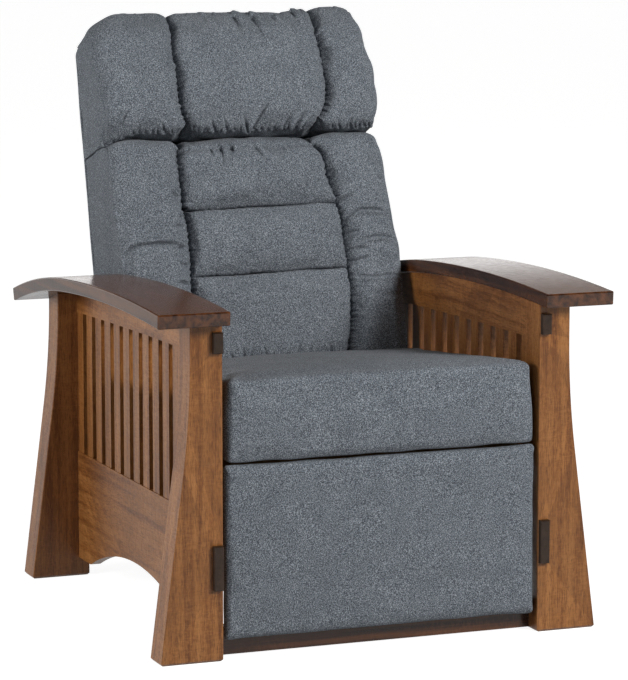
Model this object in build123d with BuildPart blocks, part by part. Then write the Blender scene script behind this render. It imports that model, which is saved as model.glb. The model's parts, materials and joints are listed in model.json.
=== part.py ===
# Mission reclining armchair: slatted oak side frames under bowed arms, a seat hung on swing links,
# a back that turns as the seat swings forward, and a footrest on two parallelogram linkages.
# The chair faces -Y and left is -X. Z = 0 is the floor.
import os
from math import acos, asin, atan2, cos, degrees, hypot, radians, sin, sqrt

from build123d import *

os.makedirs("parts", exist_ok=True)

side_shares = (("left", -1), ("right", 1))

# Clearances
fit_gap = 0.05            # radial, pin in hole
soft_gap = 0.3            # between a pad and what it rests on
layer_gap = 0.5           # between plates that turn beside each other
overrun = 5.0             # how far a cutting shape runs past what it cuts

# Shares of directions and curves
aligned_share = 0.9       # cosine from which an edge or a face counts as aligned with an axis
bend_share = 1 - sqrt(0.5)

# Posts
clear_width = 580.0       # between the left and right posts
post_width = 57.0
post_depth = 57.0
frame_depth = 789.0       # front of the front posts to back of the rear posts
foot_width = 111.0
flare_drop = 90.0         # from the arm's crest down to where the outer edge starts to flare
flare_radius = 1500.0
post_round = 2.0
foot_chamfer = 4.0

# Arms
arm_width = 127.0
arm_thickness = 24.0
arm_lap = 3.0             # how far the arm overhangs the inner face of a post
arm_crest_height = 605.0
arm_crest_setback = 215.0
arm_nose = 34.0           # ahead of the front posts
arm_tail = 8.0            # behind the rear posts
arm_front_radius = 3800.0
arm_tail_radius = 1450.0
arm_bend_setback = 500.0
arm_round = 2.5
dowel_radius = 5.0
dowel_length = 40.0
dowel_in_arm = 15.0
dowel_setback = 20.0      # from the outer face of a post
dowel_shares = (0.28, 0.72)

# Side rails and slats
rail_thickness = 19.0
rail_inset = 1.5          # from the inner face of a post to the rail
top_rail_front_height = 65.0
top_rail_rear_height = 35.0
top_rail_bow = 3.0
bottom_rail_top = 237.0
bottom_rail_bottom = 35.0
arch_flat = 70.0
arch_rise = 55.0
tenon_length = 25.0
upper_tenon_shares = (0.175, 0.715)
upper_rear_tenon_shares = (0.1, 0.85)
lower_tenon_shares = (0.436, 0.812)
cap_width = 17.0
cap_proud = 10.0
cap_seat = 6.0
cap_chamfer = 1.5
slat_count = 13
slat_width = 33.0
slat_thickness = 12.0
slat_inset = 1.5          # from the outer face of a rail to the slats
slat_tenon = 10.0

# Stretchers
stretcher_thickness = 19.0
front_stretcher_gap = 2.0     # behind the footrest board
front_stretcher_lift = 3.0
front_stretcher_height = 49.0
rear_stretcher_lift = 60.0
rear_stretcher_height = 100.0
rear_stretcher_inset = 12.0
stretcher_tenon_share = 0.6

# Steel base rails and the swing links that carry the seat
plate_thickness = 4.0
pin_radius = 4.0
pin_head_radius = 7.0
pin_head_height = 2.0
link_radius = 11.0
plate_lobe_radius = 14.0
base_rail_top = bottom_rail_top
base_rail_height = 37.0
base_rail_end_gap = 10.0
screw_radius = 2.5
screw_head_radius = 5.0
screw_length = 16.0
screw_setback_shares = (0.06, 0.28, 0.72, 0.94)
swing_length = 110.0
swing_rest_angle = 5.0
seat_pivot_height = 225.0
front_pivot_setback = 170.0
rear_pivot_setback = 430.0
hanger_reach = 38.0       # how far ahead of its pivot a hanger meets the seat rail
back_pivot_setback = 600.0
back_pivot_height = 330.0
lever_back = 10.0         # lever end from the back pivot, rearward
lever_drop = 60.0         # and downward

# Seat
seat_frame_front = 66.0
seat_frame_rear = 505.0
seat_rail_top = 337.0
seat_rail_height = 37.0
seat_rail_thickness = 19.0
cushion_half_width = 279.5
cushion_rear = 508.0
cushion_front_height = 478.0
cushion_rear_height = 427.0
cushion_crown = 9.0
cushion_draw = 7.0
cushion_corner = 18.0
spring_count = 4
spring_wire_radius = 2.0
spring_half_width = 22.0
spring_turn_count = 12
spring_bend_radius = 9.0
spring_drop = 0.3
spring_lead = 20.0

# Footrest
footrest_half_width = 286.0
footrest_bottom = 33.0
footrest_top = 331.0
footrest_pad_depth = 20.0
footrest_board_depth = 12.0
footrest_board_margin = 8.0
footrest_crown = 4.0
footrest_draw = 8.0
footrest_face_share = 0.5     # of the draw, on the face
footrest_edge_share = 0.3     # of the draw, on the top and bottom edges
footrest_corner = 9.0
footrest_pivot_gap = 15.0     # behind the board
footrest_pivot_drop = 56.0    # below the top edge
footrest_pivot_spacing = 75.0
footrest_reach = 75.0         # gap from the seat front to the raised footrest
footrest_raised_height = 425.0
footrest_turn_angle = 90.0
link_pivot_setback = 115.0
link_pivot_height = 290.0
link_pair_spacing = 105.0
link_pair_drop = 8.0
tube_radius = 11.0
tube_wall = 2.0
bracket_flange = 24.0
bracket_margin = 14.0

# Back
back_lean_angle = 13.7
back_half_width = 269.0
back_bottom = 25.0            # along the back, from its pivot
back_frame_top = 690.0
back_rail_front = 48.0        # behind the pivot line
back_rail_depth = 45.0
back_rail_thickness = 19.0
back_rail_height = 45.0
outer_back_depth = 11.0
outer_back_round = 4.0
web_thickness = 2.0
web_width = 50.0
web_count = 5
bracket_top = 200.0
bracket_drop = 6.0
panel_half_width = 150.0
panel_offset = 16.0           # the middle panel sits off the chair's middle
channel_seams = (233.0, 360.0)
lumbar_depth = 117.0          # ahead of the pivot line at the bottom
tuck_depth = 95.0             # where the bolsters turn in behind the seat
tuck_height = 150.0
shoulder_depth = 52.0         # ahead of the pivot line at the top of the lower back
lower_back_top = 494.0
channel_crown = 16.0
bolster_crown = 5.0
seam_draw = 14.0
edge_draw = 15.0
shoulder_drop = 14.0
shoulder_setback = 60.0
shoulder_corner = 30.0        # how much lower the outer top corner of a bolster is
head_bottom = 496.0
head_half_panel = 145.0
head_offset = 26.0
head_depth = 62.0
head_notch = 4.0              # behind the pivot line
head_front_height = 46.0      # above the bottom of the head roll
head_mid_height = 110.0
head_mid_depth = 54.0
head_brow_height = 198.0
head_brow_depth = 20.0
head_top = 746.0
head_top_setback = 42.0
head_rear_setback = 98.0
head_rear_lift = 18.0
head_corner = 36.0            # how much lower the outer top corner of the head roll is
head_seam_depth = 48.0        # the seam between the underside and the front
head_seam_lift = 11.0

# Derived places
half_clear = clear_width / 2
lean_sin = sin(radians(back_lean_angle))
lean_cos = cos(radians(back_lean_angle))
outer_back_front = back_rail_front + back_rail_depth
outer_back_rear = outer_back_front + outer_back_depth
rear_reach = back_pivot_setback + outer_back_rear * lean_cos + back_frame_top * lean_sin
front_face = (arm_nose - rear_reach) / 2
rear_face = front_face + frame_depth
rail_front = front_face + post_depth
rail_rear = rear_face - post_depth
rail_span = rail_rear - rail_front
rail_inner = half_clear + rail_inset
rail_outer = rail_inner + rail_thickness

# Plate layers, from the wooden rail inwards
base_inner = rail_inner - plate_thickness
swing_outer = base_inner - layer_gap
swing_inner = swing_outer - plate_thickness
hanger_outer = swing_inner - layer_gap
hanger_inner = hanger_outer - plate_thickness
seat_rail_inner = hanger_inner - seat_rail_thickness
side_plate_inner = seat_rail_inner - plate_thickness
first_link_outer = side_plate_inner - layer_gap
first_link_inner = first_link_outer - plate_thickness
second_link_outer = first_link_inner - layer_gap
second_link_inner = second_link_outer - plate_thickness
bracket_outer = second_link_inner - layer_gap
bracket_inner = bracket_outer - plate_thickness


def polar(length, angle):
    return length * cos(radians(angle)), length * sin(radians(angle))


def shifted(point, offset):
    return point[0] + offset[0], point[1] + offset[1]


# Pivots as (y, z) at rest
front_seat_pivot = (front_face + front_pivot_setback, seat_pivot_height)
rear_seat_pivot = (front_face + rear_pivot_setback, seat_pivot_height)
swing_offset = polar(swing_length, 90 - swing_rest_angle)
front_base_pivot = shifted(front_seat_pivot, swing_offset)
rear_base_pivot = shifted(rear_seat_pivot, swing_offset)
back_pivot = (front_face + back_pivot_setback, back_pivot_height)
lever_offset = (lever_back, -lever_drop)
lever_end = shifted(back_pivot, lever_offset)
crank_end = shifted(rear_seat_pivot, lever_offset)

footrest_back = footrest_pad_depth + footrest_board_depth
upper_turn_pivot = (front_face + footrest_back + footrest_pivot_gap, footrest_top - footrest_pivot_drop)
lower_turn_pivot = shifted(upper_turn_pivot, (0, -footrest_pivot_spacing))
front_link_pivot = (front_face + link_pivot_setback, link_pivot_height)
rear_link_pivot = shifted(front_link_pivot, (link_pair_spacing, -link_pair_drop))
raise_y = -(footrest_reach + footrest_pivot_drop + footrest_back + footrest_pivot_gap)
raise_z = footrest_raised_height - footrest_back - footrest_pivot_gap - upper_turn_pivot[1]
front_link_length = hypot(raise_y, raise_z) / 2 / sin(radians(footrest_turn_angle / 2))
front_link_angle = degrees(atan2(raise_z, raise_y)) + (180 + footrest_turn_angle) / 2
crossing_pivot = shifted(front_link_pivot, polar(front_link_length, front_link_angle))
lower_link_pivot = shifted(crossing_pivot, (0, -footrest_pivot_spacing))
rear_link_end = shifted(crossing_pivot, (link_pair_spacing, -link_pair_drop))

# Arm arcs: the crest arc runs on into the tighter tail arc
crest_centre = (front_face + arm_crest_setback, arm_crest_height - arm_front_radius)
nose_angle = degrees(asin((arm_crest_setback + arm_nose) / arm_front_radius))
join_angle = degrees(asin((arm_bend_setback - arm_crest_setback) / arm_front_radius))
tail_centre = shifted(crest_centre, polar(arm_front_radius - arm_tail_radius, 90 - join_angle))
tail_angle = degrees(asin((rear_face + arm_tail - tail_centre[0]) / arm_tail_radius))


def span(side, inner, outer):
    """Lowest x and width of a slab that lies from inner to outer on one side."""
    return min(side * inner, side * outer), outer - inner


def arm_curve(drop):
    """Three crest points and three tail points of the arm's bow, drop below its top."""
    crest = [shifted(crest_centre, polar(arm_front_radius - drop, 90 - angle))
             for angle in (-nose_angle, (join_angle - nose_angle) / 2, join_angle)]
    tail = [shifted(tail_centre, polar(arm_tail_radius - drop, 90 - angle))
            for angle in (join_angle, (join_angle + tail_angle) / 2, tail_angle)]
    return crest, tail


def arm_underside(y):
    """Height of the arm's underside at y."""
    centre, radius = (crest_centre, arm_front_radius)
    if y > front_face + arm_bend_setback:
        centre, radius = (tail_centre, arm_tail_radius)
    return centre[1] + sqrt((radius - arm_thickness) ** 2 - (y - centre[0]) ** 2)


def cut_above_arm(side):
    """Take away everything above the arm's underside on one side."""
    crest, tail = arm_curve(arm_thickness)
    ceiling = arm_crest_height + overrun
    x_low, width = span(side, half_clear - arm_width, half_clear + arm_width * 2)
    with BuildSketch(Plane.YZ.offset(x_low)) as above:
        with BuildLine():
            ThreePointArc(*crest)
            ThreePointArc(*tail)
            Polyline(tail[2], (tail[2][0], ceiling), (crest[0][0], ceiling), crest[0])
        make_face()
    extrude(above.sketch, amount=width, mode=Mode.SUBTRACT)


def keep(piece, name):
    piece.part.label = name
    export_step(piece.part, f"parts/{name}.step")


# Arms
def make_arm(side):
    with BuildPart() as arm:
        x_low, width = span(side, half_clear - arm_lap, half_clear - arm_lap + arm_width)
        top_crest, top_tail = arm_curve(0)
        low_crest, low_tail = arm_curve(arm_thickness)
        with BuildSketch(Plane.YZ.offset(x_low)):
            with BuildLine():
                ThreePointArc(*top_crest)
                ThreePointArc(*top_tail)
                Line(top_tail[2], low_tail[2])
                ThreePointArc(*low_tail)
                ThreePointArc(*low_crest)
                Line(low_crest[0], top_crest[0])
            make_face()
        extrude(amount=width)
        fillet(arm.edges(), arm_round)
        add(dowels.part, mode=Mode.SUBTRACT)
    return arm


# Dowels that hold the arms on the posts
with BuildPart() as dowels:
    for _, side in side_shares:
        for y in (front_face + dowel_setback, rear_face - dowel_setback):
            for x_share in dowel_shares:
                x = side * (half_clear + post_width * x_share)
                top = arm_underside(y) + dowel_in_arm
                with Locations((x, y, top - dowel_length / 2)):
                    Cylinder(dowel_radius, dowel_length)
keep(dowels, "arm_dowels")

for side_name, side in side_shares:
    keep(make_arm(side), f"{side_name}_arm")

# Slats, tenoned into the rails above and below
top_rail_front_low = arm_underside(rail_front) - top_rail_front_height
top_rail_rear_low = arm_underside(rail_rear) - top_rail_rear_height
slat_pitch = (rail_span - slat_width) / (slat_count - 1)


def top_rail_low(y):
    """Height of the top rail's lower edge at y, without its slight bow."""
    share = (y - rail_front) / rail_span
    return top_rail_front_low + (top_rail_rear_low - top_rail_front_low) * share


def make_slats(side):
    x_mid = side * (rail_outer - slat_inset - slat_thickness / 2)
    low = bottom_rail_top - slat_tenon
    with BuildPart() as slats:
        for index in range(slat_count):
            y = rail_front + slat_width / 2 + index * slat_pitch
            high = top_rail_low(y) + slat_tenon
            with Locations((x_mid, y, (low + high) / 2)):
                Box(slat_thickness, slat_width, high - low)
    return slats


# Steel base rails, their screws and the pins that the swing links hang on
with BuildPart() as base_screws:
    head_height = screw_head_radius - screw_radius
    screw_z = base_rail_top - base_rail_height / 2
    for _, side in side_shares:
        for share in screw_setback_shares:
            y = rail_front + share * rail_span
            tip_plane = Plane(origin=(side * base_inner, y, screw_z), z_dir=(side, 0, 0))
            with BuildSketch(tip_plane):
                Circle(screw_head_radius)
            with BuildSketch(tip_plane.offset(head_height)):
                Circle(screw_radius)
            loft()
            with BuildSketch(tip_plane.offset(head_height)):
                Circle(screw_radius)
            extrude(amount=screw_length - head_height)
keep(base_screws, "base_rail_screws")


def make_base_rail(side):
    x_low, width = span(side, base_inner, rail_inner)
    low = base_rail_top - base_rail_height
    with BuildPart() as base_rail:
        with BuildSketch(Plane.YZ.offset(x_low)):
            length = rail_span - 2 * base_rail_end_gap
            with Locations(((rail_front + rail_rear) / 2, (low + base_rail_top) / 2)):
                Rectangle(length, base_rail_height)
            for y, z in (front_base_pivot, rear_base_pivot):
                with Locations((y, (low + z) / 2)):
                    Rectangle(2 * plate_lobe_radius, z - low)
                with Locations((y, z)):
                    Circle(plate_lobe_radius)
                    Circle(pin_radius, mode=Mode.SUBTRACT)
        extrude(amount=width)
        add(base_screws.part, mode=Mode.SUBTRACT)
    return base_rail


for side_name, side in side_shares:
    keep(make_base_rail(side), f"{side_name}_base_rail")


def add_pins(points, inner, outer, head_inner=0.0, head_outer=0.0):
    """Pins on both sides at (y, z) points, from inner to outer, with heads past either end."""
    for _, side in side_shares:
        runs = [(pin_radius, inner, outer)]
        if head_inner:
            runs.append((pin_head_radius, inner - head_inner, inner))
        if head_outer:
            runs.append((pin_head_radius, outer, outer + head_outer))
        for radius, low, high in runs:
            x_low, width = span(side, low, high)
            with BuildSketch(Plane.YZ.offset(x_low)) as pin:
                with Locations(*points):
                    Circle(radius)
            extrude(pin.sketch, amount=width)


with BuildPart() as base_pins:
    add_pins((front_base_pivot, rear_base_pivot), swing_inner - layer_gap, rail_inner, pin_head_height)
keep(base_pins, "base_pivot_pins")


# Flat links made of round-ended bars
def bar(start, end, radius):
    """A round-ended bar between two (y, z) points, in the sketch where it is called."""
    middle = ((start[0] + end[0]) / 2, (start[1] + end[1]) / 2)
    length = hypot(end[0] - start[0], end[1] - start[1])
    with Locations(middle):
        SlotCenterToCenter(length, 2 * radius, rotation=degrees(atan2(end[1] - start[1], end[0] - start[0])))


def add_links(points, inner, outer, holes, fixed=()):
    """The same bent link on both sides, with running holes and tight holes for fixed pins."""
    for _, side in side_shares:
        x_low, width = span(side, inner, outer)
        with BuildSketch(Plane.YZ.offset(x_low)) as link:
            for start, end in zip(points, points[1:]):
                bar(start, end, link_radius)
            if holes:
                with Locations(*holes):
                    Circle(pin_radius + fit_gap, mode=Mode.SUBTRACT)
            if fixed:
                with Locations(*fixed):
                    Circle(pin_radius, mode=Mode.SUBTRACT)
        extrude(link.sketch, amount=width)


with BuildPart() as front_swing_links:
    front_swing = (front_base_pivot, front_seat_pivot)
    add_links(front_swing, swing_inner, swing_outer, front_swing)
keep(front_swing_links, "front_swing_links")

with BuildPart() as rear_swing_links:
    add_links((rear_base_pivot, rear_seat_pivot, crank_end), swing_inner, swing_outer,
              (rear_base_pivot, rear_seat_pivot))
    add_pins((crank_end,), hanger_inner - layer_gap, swing_inner, pin_head_height)
keep(rear_swing_links, "rear_swing_links")

with BuildPart() as drive_links:
    add_links((crank_end, lever_end), hanger_inner, hanger_outer, (crank_end, lever_end))
keep(drive_links, "recline_drive_links")


# Wooden side frames
def add_tenons(x_low, width, low_front, high_front, low_rear, high_rear):
    """A blind tenon at each end of a side rail."""
    for y, low, high in ((rail_front - tenon_length / 2, low_front, high_front),
                         (rail_rear + tenon_length / 2, low_rear, high_rear)):
        with Locations((x_low + width / 2, y, (low + high) / 2)):
            Box(width, tenon_length, high - low)


def share_span(low, high, shares):
    return low + (high - low) * shares[0], low + (high - low) * shares[1]


upper_front_tenon = share_span(top_rail_front_low, arm_underside(rail_front), upper_tenon_shares)
upper_rear_tenon = share_span(top_rail_rear_low, arm_underside(rear_face + arm_tail), upper_rear_tenon_shares)
lower_tenon = share_span(bottom_rail_bottom, bottom_rail_top, lower_tenon_shares)


def make_top_rail(side, slats):
    x_low, width = span(side, rail_inner, rail_outer)
    middle = ((rail_front + rail_rear) / 2, (top_rail_front_low + top_rail_rear_low) / 2 + top_rail_bow)
    with BuildPart() as rail:
        with BuildSketch(Plane.YZ.offset(x_low)):
            with BuildLine():
                ThreePointArc((rail_front, top_rail_front_low), middle, (rail_rear, top_rail_rear_low))
                Polyline((rail_rear, top_rail_rear_low), (rail_rear, arm_crest_height),
                         (rail_front, arm_crest_height), (rail_front, top_rail_front_low))
            make_face()
        extrude(amount=width)
        cut_above_arm(side)
        add_tenons(x_low, width, *upper_front_tenon, *upper_rear_tenon)
        add(slats.part, mode=Mode.SUBTRACT)
    return rail


def make_bottom_rail(side, slats):
    x_low, width = span(side, rail_inner, rail_outer)
    arch_front = rail_front + arch_flat
    arch_rear = rail_rear - arch_flat
    crown = ((rail_front + rail_rear) / 2, bottom_rail_bottom + arch_rise)
    with BuildPart() as rail:
        with BuildSketch(Plane.YZ.offset(x_low)):
            with BuildLine():
                Polyline((arch_front, bottom_rail_bottom), (rail_front, bottom_rail_bottom),
                         (rail_front, bottom_rail_top), (rail_rear, bottom_rail_top),
                         (rail_rear, bottom_rail_bottom), (arch_rear, bottom_rail_bottom))
                ThreePointArc((arch_rear, bottom_rail_bottom), crown, (arch_front, bottom_rail_bottom))
            make_face()
        extrude(amount=width)
        add_tenons(x_low, width, *lower_tenon, *lower_tenon)
        add(slats.part, mode=Mode.SUBTRACT)
        add(base_screws.part, mode=Mode.SUBTRACT)
    return rail


def make_caps(front_span, rear_span):
    """Dark tenon ends, let into the outer faces of the posts."""
    depth = cap_proud + cap_seat
    with BuildPart() as caps:
        for _, side in side_shares:
            x = side * (rail_inner + cap_width / 2)
            for y, (low, high) in ((front_face + cap_seat - depth / 2, front_span),
                                   (rear_face - cap_seat + depth / 2, rear_span)):
                with Locations((x, y, (low + high) / 2)):
                    Box(cap_width, depth, high - low)
        ends = caps.faces().filter_by(lambda face: abs(face.center().Y - (front_face + rear_face) / 2)
                                      > (frame_depth + cap_proud) / 2 and abs(face.normal_at().Y) > aligned_share)
        chamfer(ends.edges(), cap_chamfer)
    return caps


def make_stretcher(y, low, height):
    """A cross rail with a shouldered tenon in the post at each end."""
    with BuildPart() as stretcher:
        with Locations((0, y, low + height / 2)):
            Box(clear_width, stretcher_thickness, height)
            Box(clear_width + 2 * tenon_length, stretcher_thickness * stretcher_tenon_share,
                height * stretcher_tenon_share)
    return stretcher


slats_by_side = {}
rails_by_side = {}
for side_name, side in side_shares:
    slats_by_side[side] = make_slats(side)
    rails_by_side[side] = (make_top_rail(side, slats_by_side[side]), make_bottom_rail(side, slats_by_side[side]))
    keep(slats_by_side[side], f"{side_name}_slats")
    keep(rails_by_side[side][0], f"{side_name}_top_rail")
    keep(rails_by_side[side][1], f"{side_name}_bottom_rail")

upper_caps = make_caps(upper_front_tenon, upper_rear_tenon)
lower_caps = make_caps(lower_tenon, lower_tenon)
keep(upper_caps, "upper_tenon_caps")
keep(lower_caps, "lower_tenon_caps")

front_stretcher_y = front_face + footrest_back + front_stretcher_gap + stretcher_thickness / 2
rear_stretcher_y = rear_face - rear_stretcher_inset - stretcher_thickness / 2
front_stretcher = make_stretcher(front_stretcher_y, front_stretcher_lift, front_stretcher_height)
rear_stretcher = make_stretcher(rear_stretcher_y, rear_stretcher_lift, rear_stretcher_height)
keep(front_stretcher, "front_stretcher")
keep(rear_stretcher, "rear_stretcher")

# Posts, straight inside and flared outside towards the foot
foot_x = half_clear + foot_width
post_outer = half_clear + post_width
flare_height = arm_crest_height - flare_drop
flare_centre_x = post_outer + flare_radius
chord = hypot(flare_centre_x - foot_x, flare_height)
flare_angle = degrees(atan2(flare_height, flare_centre_x - foot_x)) - degrees(acos(flare_radius / chord))
flare_start = (flare_centre_x - polar(flare_radius, flare_angle)[0],
               flare_height - polar(flare_radius, flare_angle)[1])
flare_middle = (flare_centre_x - polar(flare_radius, flare_angle / 2)[0],
                flare_height - polar(flare_radius, flare_angle / 2)[1])


def make_post(side, rear):
    y_rear = rear_face if rear else rail_front

    def place(x, z):
        return side * x, z

    with BuildPart() as post:
        with BuildSketch(Plane.XZ.offset(-y_rear)):
            with BuildLine():
                Polyline(place(foot_x, 0), place(half_clear, 0), place(half_clear, arm_crest_height),
                         place(post_outer, arm_crest_height), place(post_outer, flare_height))
                ThreePointArc(place(post_outer, flare_height), place(*flare_middle), place(*flare_start))
                Line(place(*flare_start), place(foot_x, 0))
            make_face()
        extrude(amount=post_depth)
        chamfer(post.faces().sort_by(Axis.Z)[0].edges(), foot_chamfer)
        long_edges = post.edges().filter_by(lambda edge: abs(edge.tangent_at(0.5).Z) > aligned_share)
        fillet(long_edges, post_round)
        cut_above_arm(side)
        add(rails_by_side[side][0].part, mode=Mode.SUBTRACT)
        add(rails_by_side[side][1].part, mode=Mode.SUBTRACT)
        add(upper_caps.part, mode=Mode.SUBTRACT)
        add(lower_caps.part, mode=Mode.SUBTRACT)
        add(front_stretcher.part, mode=Mode.SUBTRACT)
        add(rear_stretcher.part, mode=Mode.SUBTRACT)
        add(dowels.part, mode=Mode.SUBTRACT)
    return post


for side_name, side in side_shares:
    keep(make_post(side, False), f"front_{side_name}_post")
    keep(make_post(side, True), f"rear_{side_name}_post")

# Seat frame: wooden rails, steel side plates and hangers
seat_front = front_face + seat_frame_front
seat_rear = front_face + seat_frame_rear
seat_rail_mid = seat_rail_top - seat_rail_height / 2

for side_name, side in side_shares:
    with BuildPart() as seat_rail:
        x_low, width = span(side, seat_rail_inner, hanger_inner)
        with Locations((x_low + width / 2, (seat_front + seat_rear) / 2, seat_rail_mid)):
            Box(width, seat_rear - seat_front, seat_rail_height)
    keep(seat_rail, f"{side_name}_seat_rail")

with BuildPart() as seat_front_rail:
    with Locations((0, seat_front + seat_rail_thickness / 2, seat_rail_mid)):
        Box(2 * seat_rail_inner, seat_rail_thickness, seat_rail_height)
keep(seat_front_rail, "seat_front_rail")

with BuildPart() as seat_rear_rail:
    with Locations((0, seat_rear - seat_rail_thickness / 2, seat_rail_mid)):
        Box(2 * side_plate_inner, seat_rail_thickness, seat_rail_height)
keep(seat_rear_rail, "seat_rear_rail")

for side_name, side in side_shares:
    with BuildPart() as side_plate:
        x_low, width = span(side, side_plate_inner, seat_rail_inner)
        with BuildSketch(Plane.YZ.offset(x_low)):
            with BuildSketch(mode=Mode.PRIVATE) as lobes:
                with Locations(front_link_pivot, rear_link_pivot, back_pivot):
                    Circle(plate_lobe_radius)
            make_hull(lobes.sketch.edges())
            with Locations(front_link_pivot):
                Circle(pin_radius + fit_gap, mode=Mode.SUBTRACT)
            with Locations(rear_link_pivot, back_pivot):
                Circle(pin_radius, mode=Mode.SUBTRACT)
        extrude(amount=width)
    keep(side_plate, f"{side_name}_mechanism_plate")

with BuildPart() as seat_hangers:
    for _, side in side_shares:
        x_low, width = span(side, hanger_inner, hanger_outer)
        with BuildSketch(Plane.YZ.offset(x_low)):
            for pivot in (front_seat_pivot, rear_seat_pivot):
                shoulder = (pivot[0] - hanger_reach, seat_rail_top - seat_rail_height + link_radius)
                head = (pivot[0] - hanger_reach, seat_rail_top - link_radius)
                bar(pivot, shoulder, link_radius)
                bar(shoulder, head, link_radius)
                with Locations(pivot):
                    Circle(pin_radius, mode=Mode.SUBTRACT)
        extrude(amount=width)
keep(seat_hangers, "seat_hangers")

with BuildPart() as seat_pins:
    add_pins((front_seat_pivot, rear_seat_pivot), hanger_inner, swing_outer, pin_head_height)
    add_pins((rear_link_pivot, back_pivot), first_link_inner - layer_gap, seat_rail_inner,
             pin_head_height, pin_head_height)
keep(seat_pins, "seat_pivot_pins")

# Zigzag springs between the front and rear seat rails
with BuildPart() as seat_springs:
    wire_z = seat_rail_top - spring_drop - spring_wire_radius
    wire_start = seat_front + seat_rail_thickness
    wire_end = seat_rear - seat_rail_thickness
    step = (wire_end - wire_start - 2 * spring_lead) / spring_turn_count
    for index in range(spring_count):
        x_mid = (2 * (index + 0.5) / spring_count - 1) * side_plate_inner
        turns = [(x_mid, wire_start, wire_z), (x_mid, wire_start + spring_lead, wire_z)]
        for turn in range(spring_turn_count):
            swing = spring_half_width * (1 if turn % 2 else -1) * (1 if x_mid > 0 else -1)
            y = wire_start + spring_lead + turn * step
            turns.append((x_mid + swing, y, wire_z))
            turns.append((x_mid + swing, y + step, wire_z))
        turns.append((x_mid, wire_end - spring_lead, wire_z))
        turns.append((x_mid, wire_end, wire_z))
        with BuildLine() as wire:
            FilletPolyline(*turns, radius=spring_bend_radius)
        with BuildSketch(Plane(origin=wire.line @ 0, z_dir=wire.line % 0)):
            Circle(spring_wire_radius)
        sweep()
keep(seat_springs, "seat_springs")


# Pads: closed lofts across the chair, drawn in towards their seams
STATION_SHARES = (0, 0.08, 0.3, 0.7, 0.92, 1)
LOW_PULL_SHARES = (1, 0.4, 0.06, 0, 0, 0)
EDGE_CROWN_SHARE = 0.15


def loft_pad(base_plane, x_low, x_high, pulls, outline, corners=(0, 0)):
    """Loft outline(pull, crown_share, corner) from x_low to x_high.

    pulls is how far the front is drawn in at either end, corners how much lower the top is there.
    """
    sections = []
    for share, low_share, high_share in zip(STATION_SHARES, LOW_PULL_SHARES, reversed(LOW_PULL_SHARES)):
        pull = low_share * pulls[0] + high_share * pulls[1]
        corner = low_share * corners[0] + high_share * corners[1]
        with BuildSketch(base_plane.offset(x_low + share * (x_high - x_low))) as section:
            with BuildLine():
                outline(pull, 1 - (1 - EDGE_CROWN_SHARE) * max(low_share, high_share), corner)
            make_face()
        sections.append(section.sketch)
    loft(sections)


def seat_outline(pull, crown_share, _):
    front = front_face + pull
    rear = front_face + cushion_rear - pull / 2
    low = seat_rail_top + soft_gap
    crown = cushion_crown * crown_share
    front_top = cushion_front_height - pull / 2
    rear_top = cushion_rear_height - pull / 2
    bend = cushion_corner * bend_share
    Polyline((rear, rear_top), (rear, low), (front, low), (front, front_top - cushion_corner))
    ThreePointArc((front, front_top - cushion_corner), (front + bend, front_top - bend),
                  (front + cushion_corner, front_top))
    ThreePointArc((front + cushion_corner, front_top),
                  ((front + rear) / 2, (front_top + rear_top) / 2 + crown), (rear, rear_top))


with BuildPart() as seat_cushion:
    loft_pad(Plane.YZ, -cushion_half_width, cushion_half_width, (cushion_draw, cushion_draw), seat_outline)
keep(seat_cushion, "seat_cushion")


# Footrest
def footrest_outline(pull, crown_share, _):
    rear = front_face + footrest_pad_depth - soft_gap
    face = front_face + footrest_crown + pull * footrest_face_share
    low = footrest_bottom + pull * footrest_edge_share
    high = footrest_top - pull * footrest_edge_share
    bend = footrest_corner * bend_share
    Polyline((face + footrest_corner, high), (rear, high), (rear, low), (face + footrest_corner, low))
    ThreePointArc((face + footrest_corner, low), (face + bend, low + bend), (face, low + footrest_corner))
    ThreePointArc((face, low + footrest_corner), (face - footrest_crown * crown_share, (low + high) / 2),
                  (face, high - footrest_corner))
    ThreePointArc((face, high - footrest_corner), (face + bend, high - bend), (face + footrest_corner, high))


with BuildPart() as footrest_pad:
    loft_pad(Plane.YZ, -footrest_half_width, footrest_half_width, (footrest_draw, footrest_draw),
             footrest_outline)
keep(footrest_pad, "footrest_pad")

with BuildPart() as footrest_board:
    board_height = footrest_top - footrest_bottom - 2 * footrest_board_margin
    with Locations((0, front_face + footrest_back - footrest_board_depth / 2,
                    (footrest_top + footrest_bottom) / 2)):
        Box(2 * (footrest_half_width - footrest_board_margin), footrest_board_depth, board_height)
keep(footrest_board, "footrest_board")

with BuildPart() as footrest_brackets:
    bracket_face = front_face + footrest_back
    bracket_low = lower_turn_pivot[1] - bracket_margin
    bracket_high = upper_turn_pivot[1] + bracket_margin
    for _, side in side_shares:
        x_low, width = span(side, bracket_inner, bracket_outer)
        with BuildSketch(Plane.YZ.offset(x_low)):
            bar(lower_turn_pivot, upper_turn_pivot, link_radius)
            with Locations(((bracket_face + upper_turn_pivot[0]) / 2, (bracket_low + bracket_high) / 2)):
                Rectangle(upper_turn_pivot[0] - bracket_face, bracket_high - bracket_low)
        extrude(amount=width)
        x_low, width = span(side, bracket_outer - bracket_flange, bracket_outer)
        with Locations((x_low + width / 2, bracket_face + plate_thickness / 2,
                        (bracket_low + bracket_high) / 2)):
            Box(width, plate_thickness, bracket_high - bracket_low)
    add_pins((lower_turn_pivot, upper_turn_pivot), bracket_outer, second_link_outer + layer_gap,
             0.0, pin_head_height)
keep(footrest_brackets, "footrest_brackets")

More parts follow.
